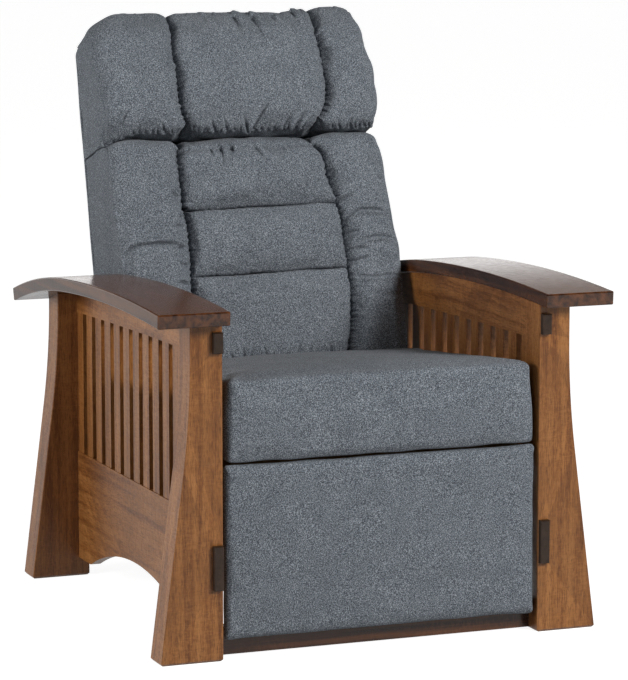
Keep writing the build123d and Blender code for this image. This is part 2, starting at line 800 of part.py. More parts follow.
# Footrest links
with BuildPart() as front_links:
    add_links((front_link_pivot, crossing_pivot, lower_link_pivot), first_link_inner, first_link_outer, ())
    add_pins((crossing_pivot, lower_link_pivot), second_link_inner - layer_gap, first_link_inner,
             pin_head_height)
    add_pins((front_link_pivot,), first_link_outer, seat_rail_inner + layer_gap, 0.0, pin_head_height)
keep(front_links, "front_footrest_links")

with BuildPart() as torque_tube:
    tube_plane = Plane(origin=(-first_link_inner, *front_link_pivot), z_dir=(1, 0, 0))
    with BuildSketch(tube_plane):
        Circle(tube_radius)
        Circle(tube_radius - tube_wall, mode=Mode.SUBTRACT)
    extrude(amount=2 * first_link_inner)
keep(torque_tube, "torque_tube")

with BuildPart() as rear_links:
    add_links((rear_link_pivot, rear_link_end), first_link_inner, first_link_outer,
              (rear_link_pivot, rear_link_end))
keep(rear_links, "rear_footrest_links")

with BuildPart() as upper_links:
    add_links((rear_link_end, crossing_pivot, upper_turn_pivot), second_link_inner, second_link_outer,
              (crossing_pivot, upper_turn_pivot))
    add_pins((rear_link_end,), second_link_outer, first_link_outer)
keep(upper_links, "upper_footrest_links")

with BuildPart() as lower_links:
    add_links((lower_link_pivot, lower_turn_pivot), second_link_inner, second_link_outer,
              (lower_link_pivot, lower_turn_pivot))
keep(lower_links, "lower_footrest_links")

# Back: sketches lie in planes across the chair, x rearward and y up along the back
back_plane = Plane(origin=(0, *back_pivot), x_dir=(0, lean_cos, -lean_sin), z_dir=(1, 0, 0))
back_rail_outer = first_link_inner
back_rail_inner = back_rail_outer - back_rail_thickness
back_rail_rear = back_rail_front + back_rail_depth
pad_rear = back_rail_front - web_thickness - soft_gap
side_pad_inner = first_link_outer + layer_gap


def add_slab(x_low, x_high, front, rear, low, high):
    """A straight block in the leaning frame of the back."""
    with BuildSketch(back_plane.offset(x_low)) as slab:
        with Locations(((front + rear) / 2, (low + high) / 2)):
            Rectangle(rear - front, high - low)
    extrude(slab.sketch, amount=x_high - x_low)


for side_name, side in side_shares:
    with BuildPart() as back_rail:
        x_low, width = span(side, back_rail_inner, back_rail_outer)
        add_slab(x_low, x_low + width, back_rail_front, back_rail_rear, back_bottom, back_frame_top)
    keep(back_rail, f"{side_name}_back_rail")

    with BuildPart() as side_pad:
        x_low, width = span(side, side_pad_inner, back_half_width)
        add_slab(x_low, x_low + width, pad_rear + soft_gap, back_rail_rear - soft_gap,
                 back_bottom, back_frame_top)
    keep(side_pad, f"{side_name}_back_side")

with BuildPart() as back_bottom_rail:
    add_slab(-back_rail_inner, back_rail_inner, back_rail_front, back_rail_rear,
             back_bottom, back_bottom + back_rail_height)
keep(back_bottom_rail, "back_bottom_rail")

with BuildPart() as back_top_rail:
    add_slab(-back_rail_inner, back_rail_inner, back_rail_front, back_rail_rear,
             back_frame_top - back_rail_height, back_frame_top)
keep(back_top_rail, "back_top_rail")

with BuildPart() as back_webbing:
    web_pitch = (back_frame_top - back_bottom) / (web_count + 1)
    for index in range(web_count):
        middle = back_bottom + (index + 1) * web_pitch
        add_slab(-back_rail_outer, back_rail_outer, back_rail_front - web_thickness, back_rail_front,
                 middle - web_width / 2, middle + web_width / 2)
keep(back_webbing, "back_webbing")

with BuildPart() as outer_back:
    add_slab(-back_half_width, back_half_width, outer_back_front, outer_back_rear,
             back_bottom, back_frame_top)
keep(outer_back, "outer_back")

with BuildPart() as back_brackets:
    lever_local = (lever_back * lean_cos + lever_drop * lean_sin, lever_back * lean_sin - lever_drop * lean_cos)
    heel = (back_rail_rear - link_radius, bracket_drop)
    for _, side in side_shares:
        x_low, width = span(side, first_link_inner, first_link_outer)
        with BuildSketch(back_plane.offset(x_low)):
            bar((0, 0), lever_local, link_radius)
            bar((0, 0), heel, link_radius)
            with Locations(((back_rail_front + back_rail_rear) / 2, (bracket_drop + bracket_top) / 2)):
                Rectangle(back_rail_depth, bracket_top - bracket_drop)
            Circle(pin_radius + fit_gap, mode=Mode.SUBTRACT)
        extrude(amount=width)
    add_pins((lever_end,), first_link_outer, hanger_outer, 0.0, pin_head_height)
keep(back_brackets, "back_brackets")


def face_depth(height):
    """How far the lower back's crown stands ahead of the pivot line at a height along the back."""
    share = (height - back_bottom) / (lower_back_top - back_bottom)
    return lumbar_depth + (shoulder_depth - lumbar_depth) * share


def channel_outline(low, high):
    """A channel of the centre panel: one full arc from seam to seam."""
    def outline(pull, crown_share, _):
        seam = channel_crown + pull
        crest = pull + channel_crown * (1 - crown_share) / 2
        front_low = (seam - face_depth(low), low)
        front_high = (seam - face_depth(high), high)
        middle = (low + high) / 2
        Polyline(front_high, (pad_rear, high), (pad_rear, low), front_low)
        ThreePointArc(front_low, (crest - face_depth(middle), middle), front_high)
    return outline


channel_edges = (back_bottom, *channel_seams, lower_back_top)
for name, low, high in zip(("lower", "middle", "upper"), channel_edges, channel_edges[1:]):
    with BuildPart() as channel:
        loft_pad(back_plane, panel_offset - panel_half_width, panel_offset + panel_half_width,
                 (seam_draw, seam_draw), channel_outline(low, high))
    keep(channel, f"back_{name}_channel")


def bolster_outline(pull, crown_share, corner):
    """A side bolster: tucked in at the seat, a long crowned front, rolled back at the shoulder."""
    top = lower_back_top - corner
    waist = top - shoulder_drop
    middle = (tuck_height + waist) / 2
    tuck_middle = (back_bottom + tuck_height) / 2
    crown = bolster_crown * crown_share
    front_low = (pull - tuck_depth, back_bottom)
    front_tuck = (pull - face_depth(tuck_height) - crown, tuck_height)
    front_waist = (pull - face_depth(waist), waist)
    shoulder = (front_waist[0] + shoulder_setback, top)
    shoulder_mid = (front_waist[0] + shoulder_setback * bend_share, top - shoulder_drop * bend_share)
    Polyline(shoulder, (pad_rear, top), (pad_rear, back_bottom), front_low)
    ThreePointArc(front_low, (front_tuck[0], tuck_middle), front_tuck)
    ThreePointArc(front_tuck, (pull - face_depth(middle) - crown, middle), front_waist)
    ThreePointArc(front_waist, shoulder_mid, shoulder)


for side_name, side in side_shares:
    x_low, width = span(side, panel_half_width + side * panel_offset, back_half_width)
    pulls = (edge_draw, seam_draw) if side < 0 else (seam_draw, edge_draw)
    corners = (shoulder_corner, 0) if side < 0 else (0, shoulder_corner)
    with BuildPart() as bolster:
        loft_pad(back_plane, x_low, x_low + width, pulls, bolster_outline, corners)
    keep(bolster, f"{side_name}_back_bolster")


def head_outline(pull, crown_share, corner):
    """The head roll: flat underside, bulging front, rolled brow, a lip over the top of the frame."""
    notch = (head_notch + pull / 2, head_bottom)
    front = (pull - head_depth, head_bottom + head_front_height)
    middle = (pull - head_mid_depth, head_bottom + head_mid_height)
    brow = (pull - head_brow_depth, head_bottom + head_brow_height - pull / 2 - corner / 2)
    crest = (head_top_setback, head_top - pull - corner / 2)
    lip = (head_rear_setback, back_frame_top + head_rear_lift - corner / 4)
    rest = back_frame_top + soft_gap
    seam = (pull - head_seam_depth, head_bottom + head_seam_lift)
    chin = (front[0] + (seam[0] - front[0]) * bend_share, seam[1] + (front[1] - seam[1]) * bend_share)
    Polyline(lip, (head_rear_setback, rest), (pad_rear, rest), (pad_rear, head_bottom), notch)
    Line(notch, seam)
    ThreePointArc(seam, chin, front)
    ThreePointArc(front, middle, brow)
    ThreePointArc(brow, crest, lip)


head_edges = (-back_half_width, head_offset - head_half_panel, head_offset + head_half_panel,
              back_half_width)
head_pulls = (edge_draw, seam_draw, seam_draw, edge_draw)
head_corners = (head_corner, 0, 0, head_corner)
head_spans = zip(("left", "center", "right"), head_edges, head_edges[1:], zip(head_pulls, head_pulls[1:]),
                 zip(head_corners, head_corners[1:]))
for name, x_low, x_high, pulls, corners in head_spans:
    with BuildPart() as head_section:
        loft_pad(back_plane, x_low, x_high, pulls, head_outline, corners)
    keep(head_section, f"head_roll_{name}")
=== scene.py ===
# Looks of the mission reclining armchair: oak and dark wood grain, heathered tweed, and the sewn,
# padded upholstery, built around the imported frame. Metres, the chair faces -Y, left is -X.
import json
import random
from math import cos, pi, radians, sin

import bpy
import numpy as np
from mathutils import Euler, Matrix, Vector


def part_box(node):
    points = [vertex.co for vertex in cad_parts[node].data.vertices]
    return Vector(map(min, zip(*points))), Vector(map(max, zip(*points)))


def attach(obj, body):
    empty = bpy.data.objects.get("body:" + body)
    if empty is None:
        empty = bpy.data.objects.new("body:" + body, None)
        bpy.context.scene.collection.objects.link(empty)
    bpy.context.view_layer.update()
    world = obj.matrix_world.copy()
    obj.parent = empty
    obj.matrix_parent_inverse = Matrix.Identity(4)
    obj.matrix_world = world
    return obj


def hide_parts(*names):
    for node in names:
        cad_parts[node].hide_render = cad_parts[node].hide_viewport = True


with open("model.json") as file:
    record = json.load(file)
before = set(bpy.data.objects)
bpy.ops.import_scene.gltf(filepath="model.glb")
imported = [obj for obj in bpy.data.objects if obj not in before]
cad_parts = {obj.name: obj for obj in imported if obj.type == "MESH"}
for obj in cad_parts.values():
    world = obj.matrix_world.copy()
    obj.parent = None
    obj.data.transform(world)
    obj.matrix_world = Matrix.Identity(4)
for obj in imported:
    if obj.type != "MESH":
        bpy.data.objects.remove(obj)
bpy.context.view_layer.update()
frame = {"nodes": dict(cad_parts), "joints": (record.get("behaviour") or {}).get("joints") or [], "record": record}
nodes = frame["nodes"]
joints = {joint["name"]: joint for joint in frame["joints"]}
MM = 0.001

# Places taken from the frame
BACK_PIVOT = joints["back_pivot"]["pos_m"]
BACK_LEAN = radians(13.7)
SEAT_LOW, SEAT_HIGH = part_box("seat_cushion")
REST_LOW, REST_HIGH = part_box("footrest_pad")
HALF_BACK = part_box("outer_back")[1].x


# Small helpers for meshes
def smooth(t):
    """Smooth step from 0 to 1."""
    t = np.clip(t, 0.0, 1.0)
    return t * t * (3 - 2 * t)


def box_shell(na, nb, nc):
    """Surface grid of a unit box: points (a, b, c) from 0 to 1, and quads that face outward."""
    index, points, quads = {}, [], []

    def point(i, j, k):
        key = (i, j, k)
        if key not in index:
            index[key] = len(points)
            points.append((i / na, j / nb, k / nc))
        return index[key]

    def quad(*corners):
        quads.append([point(*corner) for corner in corners])

    for i in range(na):
        for j in range(nb):
            quad((i, j, 0), (i + 1, j, 0), (i + 1, j + 1, 0), (i, j + 1, 0))
            quad((i, j, nc), (i, j + 1, nc), (i + 1, j + 1, nc), (i + 1, j, nc))
    for i in range(na):
        for k in range(nc):
            quad((i, 0, k), (i, 0, k + 1), (i + 1, 0, k + 1), (i + 1, 0, k))
            quad((i, nb, k), (i + 1, nb, k), (i + 1, nb, k + 1), (i, nb, k + 1))
    for j in range(nb):
        for k in range(nc):
            quad((0, j, k), (0, j + 1, k), (0, j + 1, k + 1), (0, j, k + 1))
            quad((na, j, k), (na, j, k + 1), (na, j + 1, k + 1), (na, j + 1, k))
    return np.array(points), quads


def crowd(t, ends=0.35):
    """Move evenly spaced values towards both ends, so that the edges get finer cells."""
    return t - ends * np.sin(2 * pi * t) / (2 * pi)


def make_mesh(name, points, quads):
    mesh = bpy.data.meshes.new(name)
    mesh.from_pydata(np.asarray(points, float).tolist(), [], quads)
    mesh.update()
    mesh.shade_smooth()
    piece = bpy.data.objects.new(name, mesh)
    bpy.context.scene.collection.objects.link(piece)
    return piece


def read_points(piece):
    co = np.empty(len(piece.data.vertices) * 3, np.float32)
    piece.data.vertices.foreach_get("co", co)
    return co.reshape(-1, 3).astype(float)


def write_points(piece, points):
    piece.data.vertices.foreach_set("co", np.asarray(points, np.float32).ravel())
    piece.data.update()


def read_normals(piece):
    normals = np.empty(len(piece.data.vertices) * 3, np.float32)
    piece.data.vertex_normals.foreach_get("vector", normals)
    return normals.reshape(-1, 3).astype(float)


def refine(piece, levels):
    """Subdivision, applied."""
    piece.modifiers.new("subdivision", "SUBSURF").levels = levels
    graph = bpy.context.evaluated_depsgraph_get()
    mesh = bpy.data.meshes.new_from_object(piece.evaluated_get(graph))
    piece.modifiers.clear()
    piece.data = mesh
    piece.data.shade_smooth()


def inflate(piece, pinned, pressure, slack, cap, frames=20):
    """Swell and wrinkle a padded piece by cloth simulation, with pinned points held in place."""
    if cap == 0:
        return
    rest = read_points(piece)
    group = piece.vertex_groups.new(name="pinned")
    group.add(np.flatnonzero(pinned).tolist(), 1.0, "REPLACE")
    modifier = piece.modifiers.new("cloth", "CLOTH")
    settings = modifier.settings
    settings.quality = 5
    settings.mass = 0.3
    settings.tension_stiffness = 20
    settings.compression_stiffness = 20
    settings.shear_stiffness = 8
    settings.bending_stiffness = 0.35
    settings.vertex_group_mass = "pinned"
    settings.use_pressure = True
    settings.uniform_pressure_force = pressure
    settings.shrink_min = -slack
    settings.effector_weights.gravity = 0
    modifier.collision_settings.use_collision = False
    modifier.point_cache.frame_start = 1
    modifier.point_cache.frame_end = frames
    scene = bpy.context.scene
    for step in range(1, frames + 1):
        scene.frame_set(step)
    evaluated = piece.evaluated_get(bpy.context.evaluated_depsgraph_get())
    moved = np.empty(len(rest) * 3, np.float32)
    evaluated.data.vertices.foreach_get("co", moved)
    shift = moved.reshape(-1, 3) - rest
    length = np.linalg.norm(shift, axis=1, keepdims=True)
    shift *= np.minimum(1.0, cap / np.maximum(length, 1e-9))
    piece.modifiers.clear()
    piece.vertex_groups.clear()
    scene.frame_set(1)
    write_points(piece, rest + shift)


# The leaning frame of the back, in millimetres: x across, r rearward, s up along the back
def back_to_world(x, r, s):
    y = BACK_PIVOT[1] + (r * cos(BACK_LEAN) + s * sin(BACK_LEAN)) * MM
    z = BACK_PIVOT[2] + (s * cos(BACK_LEAN) - r * sin(BACK_LEAN)) * MM
    return np.stack([x * MM, y, z], axis=1)


PAD_REAR = 45.7
PANEL_REAR = 92.6
BOX_REAR = 98
BACK_REAR = 104.0
PAD_BOTTOM = 25.0
PAD_TOP = 493.0
HEAD_BOTTOM = 496.0
HEAD_REST = 690.3
PANEL_TOP = 690
LUMBAR_DEPTH = 117.0
FACE_SLOPE = 65 / 474
TOP_SEAM = 470.0

# The boxed sides: half the back's width, where the lower panel's top starts and turns forward, how far it
# starts behind the face, the fall of its top to the rear, and the span of the head's panel at the rear
SIDE_HALF = 268
SIDE_FRONT = -40
SIDE_TURN = 465
SIDE_START = 12.5
SIDE_TOP = 486.5
SIDE_FALL = 0.083
HEAD_SIDE_BOTTOM = 479.5
HEAD_SIDE_TOP = 688


def face(s):
    """Where the lower back's face lies, ahead of the pivot line."""
    return (s - PAD_BOTTOM) * FACE_SLOPE - LUMBAR_DEPTH


def tucked_face(s):
    """The face with its lowest part drawn in behind the seat."""
    return face(s) + 22 * smooth((80 - s) / 60)


def spline(points, count):
    """Evenly spaced points on a Catmull-Rom curve through the given ones."""
    p = np.array([points[0], *points, points[-1]], float)
    fine = []
    for p0, p1, p2, p3 in zip(p, p[1:], p[2:], p[3:]):
        t = np.linspace(0, 1, 24, endpoint=False)[:, None]
        fine.append(0.5 * (2 * p1 + (p2 - p0) * t + (2 * p0 - 5 * p1 + 4 * p2 - p3) * t ** 2
                           + (3 * p1 - p0 - 3 * p2 + p3) * t ** 3))
    fine = np.vstack([*fine, p[-1:]])
    run = np.concatenate([[0], np.cumsum(np.linalg.norm(np.diff(fine, axis=0), axis=1))])
    at = np.linspace(0, run[-1], count)
    return np.stack([np.interp(at, run, fine[:, i]) for i in range(2)], axis=1)


def line_of(*points):
    """A smooth line given by (s, x) points, as a function of s."""
    curve = spline(points, 200)
    return lambda s: np.interp(s, curve[:, 0], curve[:, 1])


class Profile:
    """A section of a pad in the back's frame, as runs of (r, s) points that meet at sharp corners."""

    def __init__(self, *runs):
        dense = [spline(run, 30 * len(run)) for run in runs]
        self.curve = np.vstack([dense[0], *[run[1:] for run in dense[1:]]])
        self.along = np.concatenate([[0], np.cumsum(np.hypot(*np.diff(self.curve, axis=0).T))])
        self.length = self.along[-1]
        ends = np.cumsum([len(dense[0]) - 1] + [len(run) - 1 for run in dense[1:]])
        self.corners = [self.along[end] for end in ends[:-1]]
        slope = np.gradient(self.curve, axis=0)
        self.normal = np.stack([-slope[:, 1], slope[:, 0]], axis=1)
        self.normal /= np.linalg.norm(self.normal, axis=1)[:, None]

    def at(self, along):
        values = [np.interp(along, self.along, column) for column in (*self.curve.T, *self.normal.T)]
        return np.array(values)

    def height(self, s):
        """Length along the profile at which its front reaches s."""
        front = self.curve[:, 1].argmax() + 1
        first = self.curve[:front, 1].argmin()
        return float(np.interp(s, self.curve[first:front, 1], self.along[first:front]))


def groove(distance, depth, width, slit=0.0):
    """How far a face lies in at a distance from its seam: a rolled edge and a narrow sewn slit."""
    t = np.clip(distance / width, 0, 1)
    return depth * (1 - np.sin(pi / 2 * t)) + slit * np.exp(-distance / 1.6)


def rounded(distance, width):
    """1 at an edge, falling to 0 at width from it along a quarter circle."""
    t = np.clip(distance / width, 0.0, 1.0)
    return 1 - np.sqrt(np.maximum(1 - (1 - t) ** 2, 0.0))


def bevelled(distance, width):
    """1 at an edge, falling to 0 at width from it nearly along a straight line."""
    return np.clip(1 - distance / width, 0, 1) ** 1.5


# Folds and gathers, pressed into a face whose points are given as (x, length along the profile).
# FOLD_GAIN multiplies each depth. A row of gathers has a spacing, reach, depth and range of widths.
FOLD_GAIN = 2.2
SIDE_GATHERS = (11, 13, 1.6)
CHANNEL_GATHERS = (24, 10, 0.7)
TOP_GATHERS = (19, 13, 1.3)
LOW_GATHERS = (21, 26, 3.0, (2.0, 3.2))
BOLSTER_GATHERS = (11, 16, 1.7)
BORDER_GATHERS = (19, 16, 1.2, (1.8, 3.2))
HEAD_LOW_GATHERS = (11, 14, 1.9)
HEAD_TOP_GATHERS = (22, 20, 1.2, (2.0, 3.4))


def fold(p, points, depth, width, lip=0.7, fade="both"):
    """A fold along a curve: a narrow valley, with a rounded lip on its left."""
    line = spline(points, 6 * len(points))
    reach = 7 * width
    total = np.zeros(len(p))
    near = np.all((p > line.min(axis=0) - reach) & (p < line.max(axis=0) + reach), axis=1)
    q = p[near]
    best = np.full(len(q), 1e9)
    signed = np.zeros(len(q))
    share = np.zeros(len(q))
    for index, (start, end) in enumerate(zip(line, line[1:])):
        run = end - start
        offset = q - start
        t = np.clip(offset @ run / (run @ run), 0, 1)
        gap = offset - t[:, None] * run
        distance = np.hypot(gap[:, 0], gap[:, 1])
        closer = distance < best
        best[closer] = distance[closer]
        turn = run[0] * offset[:, 1] - run[1] * offset[:, 0]
        signed[closer] = (np.sign(turn) * distance)[closer]
        share[closer] = ((index + t) / (len(line) - 1))[closer]
    if fade == "both":
        strength = np.sin(pi * share) ** 0.6
    else:
        strength = (1 - share) ** 0.7
    valley = np.exp(-(signed / width) ** 2)
    hump = np.exp(-((signed - 2.4 * width) / (1.7 * width)) ** 2)
    total[near] = FOLD_GAIN * depth * strength * (lip * hump - valley)
    return total


def gathers(p, line, way, seed, spacing, reach, depth, width=(1.3, 2.4)):
    """Short folds that run off a seam: line(t) gives the seam, way the side they run to."""
    draw = random.Random(seed)
    total = np.zeros(len(p))
    length = np.linalg.norm(np.array(line(1.0)) - np.array(line(0.0)))
    t = draw.uniform(0.2, 0.8) * spacing / length
    while t < 1:
        at = np.array(line(t), float)
        ahead = np.array(line(min(t + 0.01, 1.0))) - np.array(line(max(t - 0.01, 0.0)))
        ahead = ahead / np.linalg.norm(ahead)
        side = np.array([-ahead[1], ahead[0]]) * way
        lean = draw.uniform(-0.5, 0.5)
        run = side * cos(lean) + ahead * sin(lean)
        far = at + run * reach * draw.uniform(0.4, 1.3)
        total += fold(p, (at - run * 2, (at + far) / 2 + ahead * draw.uniform(-1, 1), far),
                      depth * draw.uniform(0.4, 1.0), draw.uniform(*width), 0.6, "start")
        t += spacing * draw.uniform(0.6, 1.45) / length
    return total


def lumps(p, seed, size, height):
    """Slow unevenness of a filled cover."""
    draw = random.Random(seed)
    total = np.zeros(len(p))
    for _ in range(9):
        turn = draw.uniform(0, 2 * pi)
        wave = size * draw.uniform(0.7, 1.6)
        way = p[:, 0] * cos(turn) + p[:, 1] * sin(turn)
        total += np.sin(way * 2 * pi / wave + draw.uniform(0, 2 * pi))
    return total * height / 3


def build_pad(name, place, quads, flat, strength, held, folds,
              levels=2, pressure=1.2, slack=0.012, cap=4.0):
    """Make a pad, fill it by simulation, refine it, and press its folds in along its normals."""
    piece = make_mesh(name, place, quads)
    inflate(piece, held, pressure, slack, cap * MM)
    carried = piece.data.attributes.new("carried", "FLOAT_VECTOR", "POINT")
    carried.data.foreach_set("vector", np.column_stack([flat, strength]).astype(np.float32).ravel())
    refine(piece, levels)
    values = np.empty(len(piece.data.vertices) * 3, np.float32)
    piece.data.attributes["carried"].data.foreach_get("vector", values)
    piece.data.attributes.remove(piece.data.attributes["carried"])
    values = values.reshape(-1, 3).astype(float)
    push = folds(values[:, :2]) * np.clip(values[:, 2], 0, 1)
    write_points(piece, read_points(piece) + read_normals(piece) * (push * MM)[:, None])
    piece.data.shade_smooth()
    return piece


# Lower back: three channels between two bolsters
LEFT_SEAM = line_of((25, -137), (120, -139), (215, -139), (272, -133), (327, -132), (395, -135),
                    (467, -134), (480, -131), (494, -124))
RIGHT_SEAM = line_of((25, 141), (80, 150), (166, 168), (253, 171.5), (333, 171), (380, 164), (440, 153),
                     (469, 144), (482, 136), (494, 124))
OUTER_EDGE = {-1: line_of((25, 267), (250, 268.5), (420, 268), (494, 267), (560, 268), (720, 268)),
              1: line_of((25, 267), (109, 271), (254, 280), (344, 275), (440, 272), (480, 267), (500, 264),
                         (555, 274), (610, 276), (670, 272), (720, 269))}
CHANNEL_SEAMS = (235.5, 360.0)
SEAM_TILT = 5.5
SIDE_SEAM = (13.5, 22.0, 6.0)
UPPER_EDGE_SEAM = (10.0, 34.0, 3.0)
LOWER_EDGE_SEAM = (14.5, 22.0, 3.0)
BOLSTER_PROFILE = Profile(((-95, 25), (-103, 50), (-108.5, 78), (face(150), 150), (face(250), 250),
                           (face(350), 350), (face(440), 440), (-57, 467), (-54, 478), (-47, 485.5),
                           (-33, 489), (-12, 491), (6, 493)))


def front_profile(low, high):
    """The centre panel's face between two heights."""
    steps = np.linspace(low, high, max(3, round((high - low) / 40)))
    return [(tucked_face(s), s) for s in steps]


def channel(name, low, high, seed):
    """A channel of the centre panel, gathered where it is sewn."""
    runs = [front_profile(low, min(high, TOP_SEAM))]
    if high > TOP_SEAM:
        runs = [front_profile(low, 452) + [(-55.5, 462), (-46.5, 470)],
                [(-46.5, 470), (-41, 479), (-32, 485.5), (-14, 489.5), (6, 493)]]
    profile = Profile(*runs)
    unit, quads = box_shell(52, max(22, round(profile.length / 5.5)), 4)
    a, b, c = crowd(unit[:, 0]), crowd(unit[:, 1], 0.3), unit[:, 2]
    along = profile.length * b
    r, s, nr, ns = profile.at(along)
    left, right = LEFT_SEAM(s), RIGHT_SEAM(s)
    x = left + (right - left) * a
    drop = groove(x - left, *SIDE_SEAM) + groove(right - x, *SIDE_SEAM)
    tilt = SEAM_TILT * (a - 0.5)
    if low > PAD_BOTTOM:
        drop = np.maximum(drop, groove(along, *LOWER_EDGE_SEAM))
        s = s + tilt * (1 - b)
    if high < PAD_TOP:
        drop = np.maximum(drop, groove(profile.length - along, *UPPER_EDGE_SEAM))
        s = s + tilt * b
    else:
        drop += groove(np.abs(along - profile.corners[0]), 2.5, 5.0)
    crown = 4.0 * np.sin(pi * a) * np.sin(pi * b)
    r = r - nr * (drop - crown)
    s = s - ns * (drop - crown)
    rear_s = np.clip(low + (min(high, PAD_TOP) - low) * b, PAD_BOTTOM, PAD_TOP)
    place = back_to_world(x, r + (PAD_REAR - r) * c, s + (rear_s - s) * c)
    held = (c > 0.01) | (a < 0.005) | (a > 0.995) | (b < 0.005) | (b > 0.995)
    if high >= PAD_TOP:
        held |= np.abs(along - profile.corners[0]) < 4

    def folds(p):
        at = profile.height
        push = lumps(p, seed, 75, 1.1)
        for edge, way, extra in ((LEFT_SEAM, -1, 1), (RIGHT_SEAM, 1, 2)):
            push += gathers(p, lambda t: (float(edge(low + t * (high - low))), t * profile.length),
                            way, seed + extra, *SIDE_GATHERS)
        if low > PAD_BOTTOM:
            push += gathers(p, lambda t: (-134 + 300 * t, 0.0), 1, seed + 3, *CHANNEL_GATHERS)
        if high < PAD_TOP:
            push += gathers(p, lambda t: (-134 + 300 * t, profile.length), -1, seed + 4, *CHANNEL_GATHERS)
        else:
            push += gathers(p, lambda t: (-125 + 255 * t, profile.corners[0]), -1, seed + 5, *TOP_GATHERS)
            for points, depth, width in UPPER_FOLDS:
                push += fold(p, [(x, at(s)) for x, s in points], depth, width, 0.8, "start")
            push += fold(p, ((-140, at(376)), (-132, at(364)), (-124, at(350))), 2.2, 2.0)
        if low <= PAD_BOTTOM:
            push += gathers(p, lambda t: (-120 + 260 * t, at(78)), 1, seed + 6, *LOW_GATHERS)
        return push

    return build_pad(name, place, quads, np.column_stack([x, along]), 1 - smooth(c * 3), held, folds)


# Folds as (x, s) points, depth and width
UPPER_FOLDS = (
    (((-70, 470), (-70, 462), (-70, 455)), 2.9, 1.9),
    (((-50, 470), (-52, 452), (-54, 430)), 3.3, 3.1),
    (((-29, 471), (-29, 468), (-29, 463)), 4.0, 2.9),
    (((19, 470), (25, 456), (31, 440)), 3.3, 2.9),
    (((70, 470), (74, 462), (76, 452)), 1.5, 2.9),
)
RIGHT_FOLDS = (
    (((270, 331), (250, 338), (224, 342), (197, 341), (182, 334), (171, 327)), 4.4, 2.4),
    (((271, 283), (252, 289), (234, 290), (208, 287), (184, 281)), 4.1, 2.4),
    (((176, 270), (196, 268), (215, 266)), 1.8, 2.8),
    (((171, 245), (188, 248), (210, 249)), 2.5, 2.5),
    (((272, 214), (258, 216), (240, 215), (210, 214), (178, 219)), 3.0, 2.2),
    (((268, 395), (258, 402), (248, 408)), 2.8, 3.1),
    (((164, 360), (178, 367), (194, 372)), 2.8, 3.1),
    (((171, 300), (182, 302), (196, 302)), 1.8, 2.8),
    (((262, 432), (250, 437), (236, 439)), 1.6, 4.2),
    (((271, 180), (250, 178), (225, 180)), 1.5, 4.2),
)
LEFT_FOLDS = (
    (((-264, 276), (-256, 286), (-240, 291), (-205, 294), (-175, 293), (-157, 289), (-142, 281)), 4.8, 2.4),
    (((-178, 287), (-165, 285), (-152, 286), (-140, 288)), 3.0, 2.2),
    (((-232, 298), (-214, 302), (-198, 301)), 1.8, 2.5),
    (((-172, 219), (-158, 220), (-142, 218)), 3.7, 2.5),
    (((-162, 325), (-152, 327), (-140, 326)), 2.5, 2.8),
    (((-160, 391), (-152, 387), (-142, 380)), 3.4, 2.8),
    (((-150, 405), (-145, 396), (-138, 388)), 2.1, 2.5),
    (((-150, 348), (-145, 346), (-138, 342)), 2.1, 2.5),
    (((-260, 350), (-240, 356), (-215, 356)), 1.0, 5.6),
    (((-164, 255), (-152, 254), (-142, 252)), 2.3, 2.7),
)


def bolster(name, side, creases, seed):
    """A side bolster: a rolled inner edge, a tighter outer corner, a turned-over top."""
    profile = BOLSTER_PROFILE
    unit, quads = box_shell(26, 86, 6)
    a, b, c = crowd(unit[:, 0]), crowd(unit[:, 1], 0.1), unit[:, 2]
    along = profile.length * b
    r, s, nr, ns = profile.at(along)
    inner = RIGHT_SEAM(s) if side > 0 else -LEFT_SEAM(s)
    outer = OUTER_EDGE[side](s) - 2.4
    x = inner + (outer - inner) * a
    corner = 14.5 * rounded(outer - x, 22.0)
    drop = groove(x - inner, *SIDE_SEAM) + corner
    crown = 3.5 * np.sin(pi * a) * (0.6 + 0.4 * np.sin(pi * b))
    r = r - nr * (drop - crown)
    s = s - ns * (drop - crown)
    rear_s = np.clip(PAD_BOTTOM + (PAD_TOP - PAD_BOTTOM) * b, PAD_BOTTOM, PAD_TOP)
    if side < 0:
        x = -x
        quads = [quad[::-1] for quad in quads]
    place = back_to_world(x, r + (PAD_REAR - r) * c, s + (rear_s - s) * c)
    held = (c > 0.01) | (a < 0.01) | (a > 0.99) | (b < 0.01) | (b > 0.985)

    def folds(p):
        at = profile.height
        push = lumps(p, seed, 80, 1.3)
        edge = RIGHT_SEAM if side > 0 else LEFT_SEAM
        push += gathers(p, lambda t: (float(edge(PAD_BOTTOM + t * (PAD_TOP - PAD_BOTTOM))),
                                      at(PAD_BOTTOM + t * (PAD_TOP - PAD_BOTTOM - 8))),
                        -side, seed + 1, *BOLSTER_GATHERS)
        border = OUTER_EDGE[side]
        push += gathers(p, lambda t: (side * float(border(40 + t * 420)), at(40 + t * 420)),
                        side, seed + 2, *BORDER_GATHERS)
        for points, depth, width in creases:
            push += fold(p, [(x, at(s)) for x, s in points], depth, width, 0.5)
        return push

    return build_pad(name, place, quads, np.column_stack([x, along]), 1 - smooth(c * 4), held, folds)


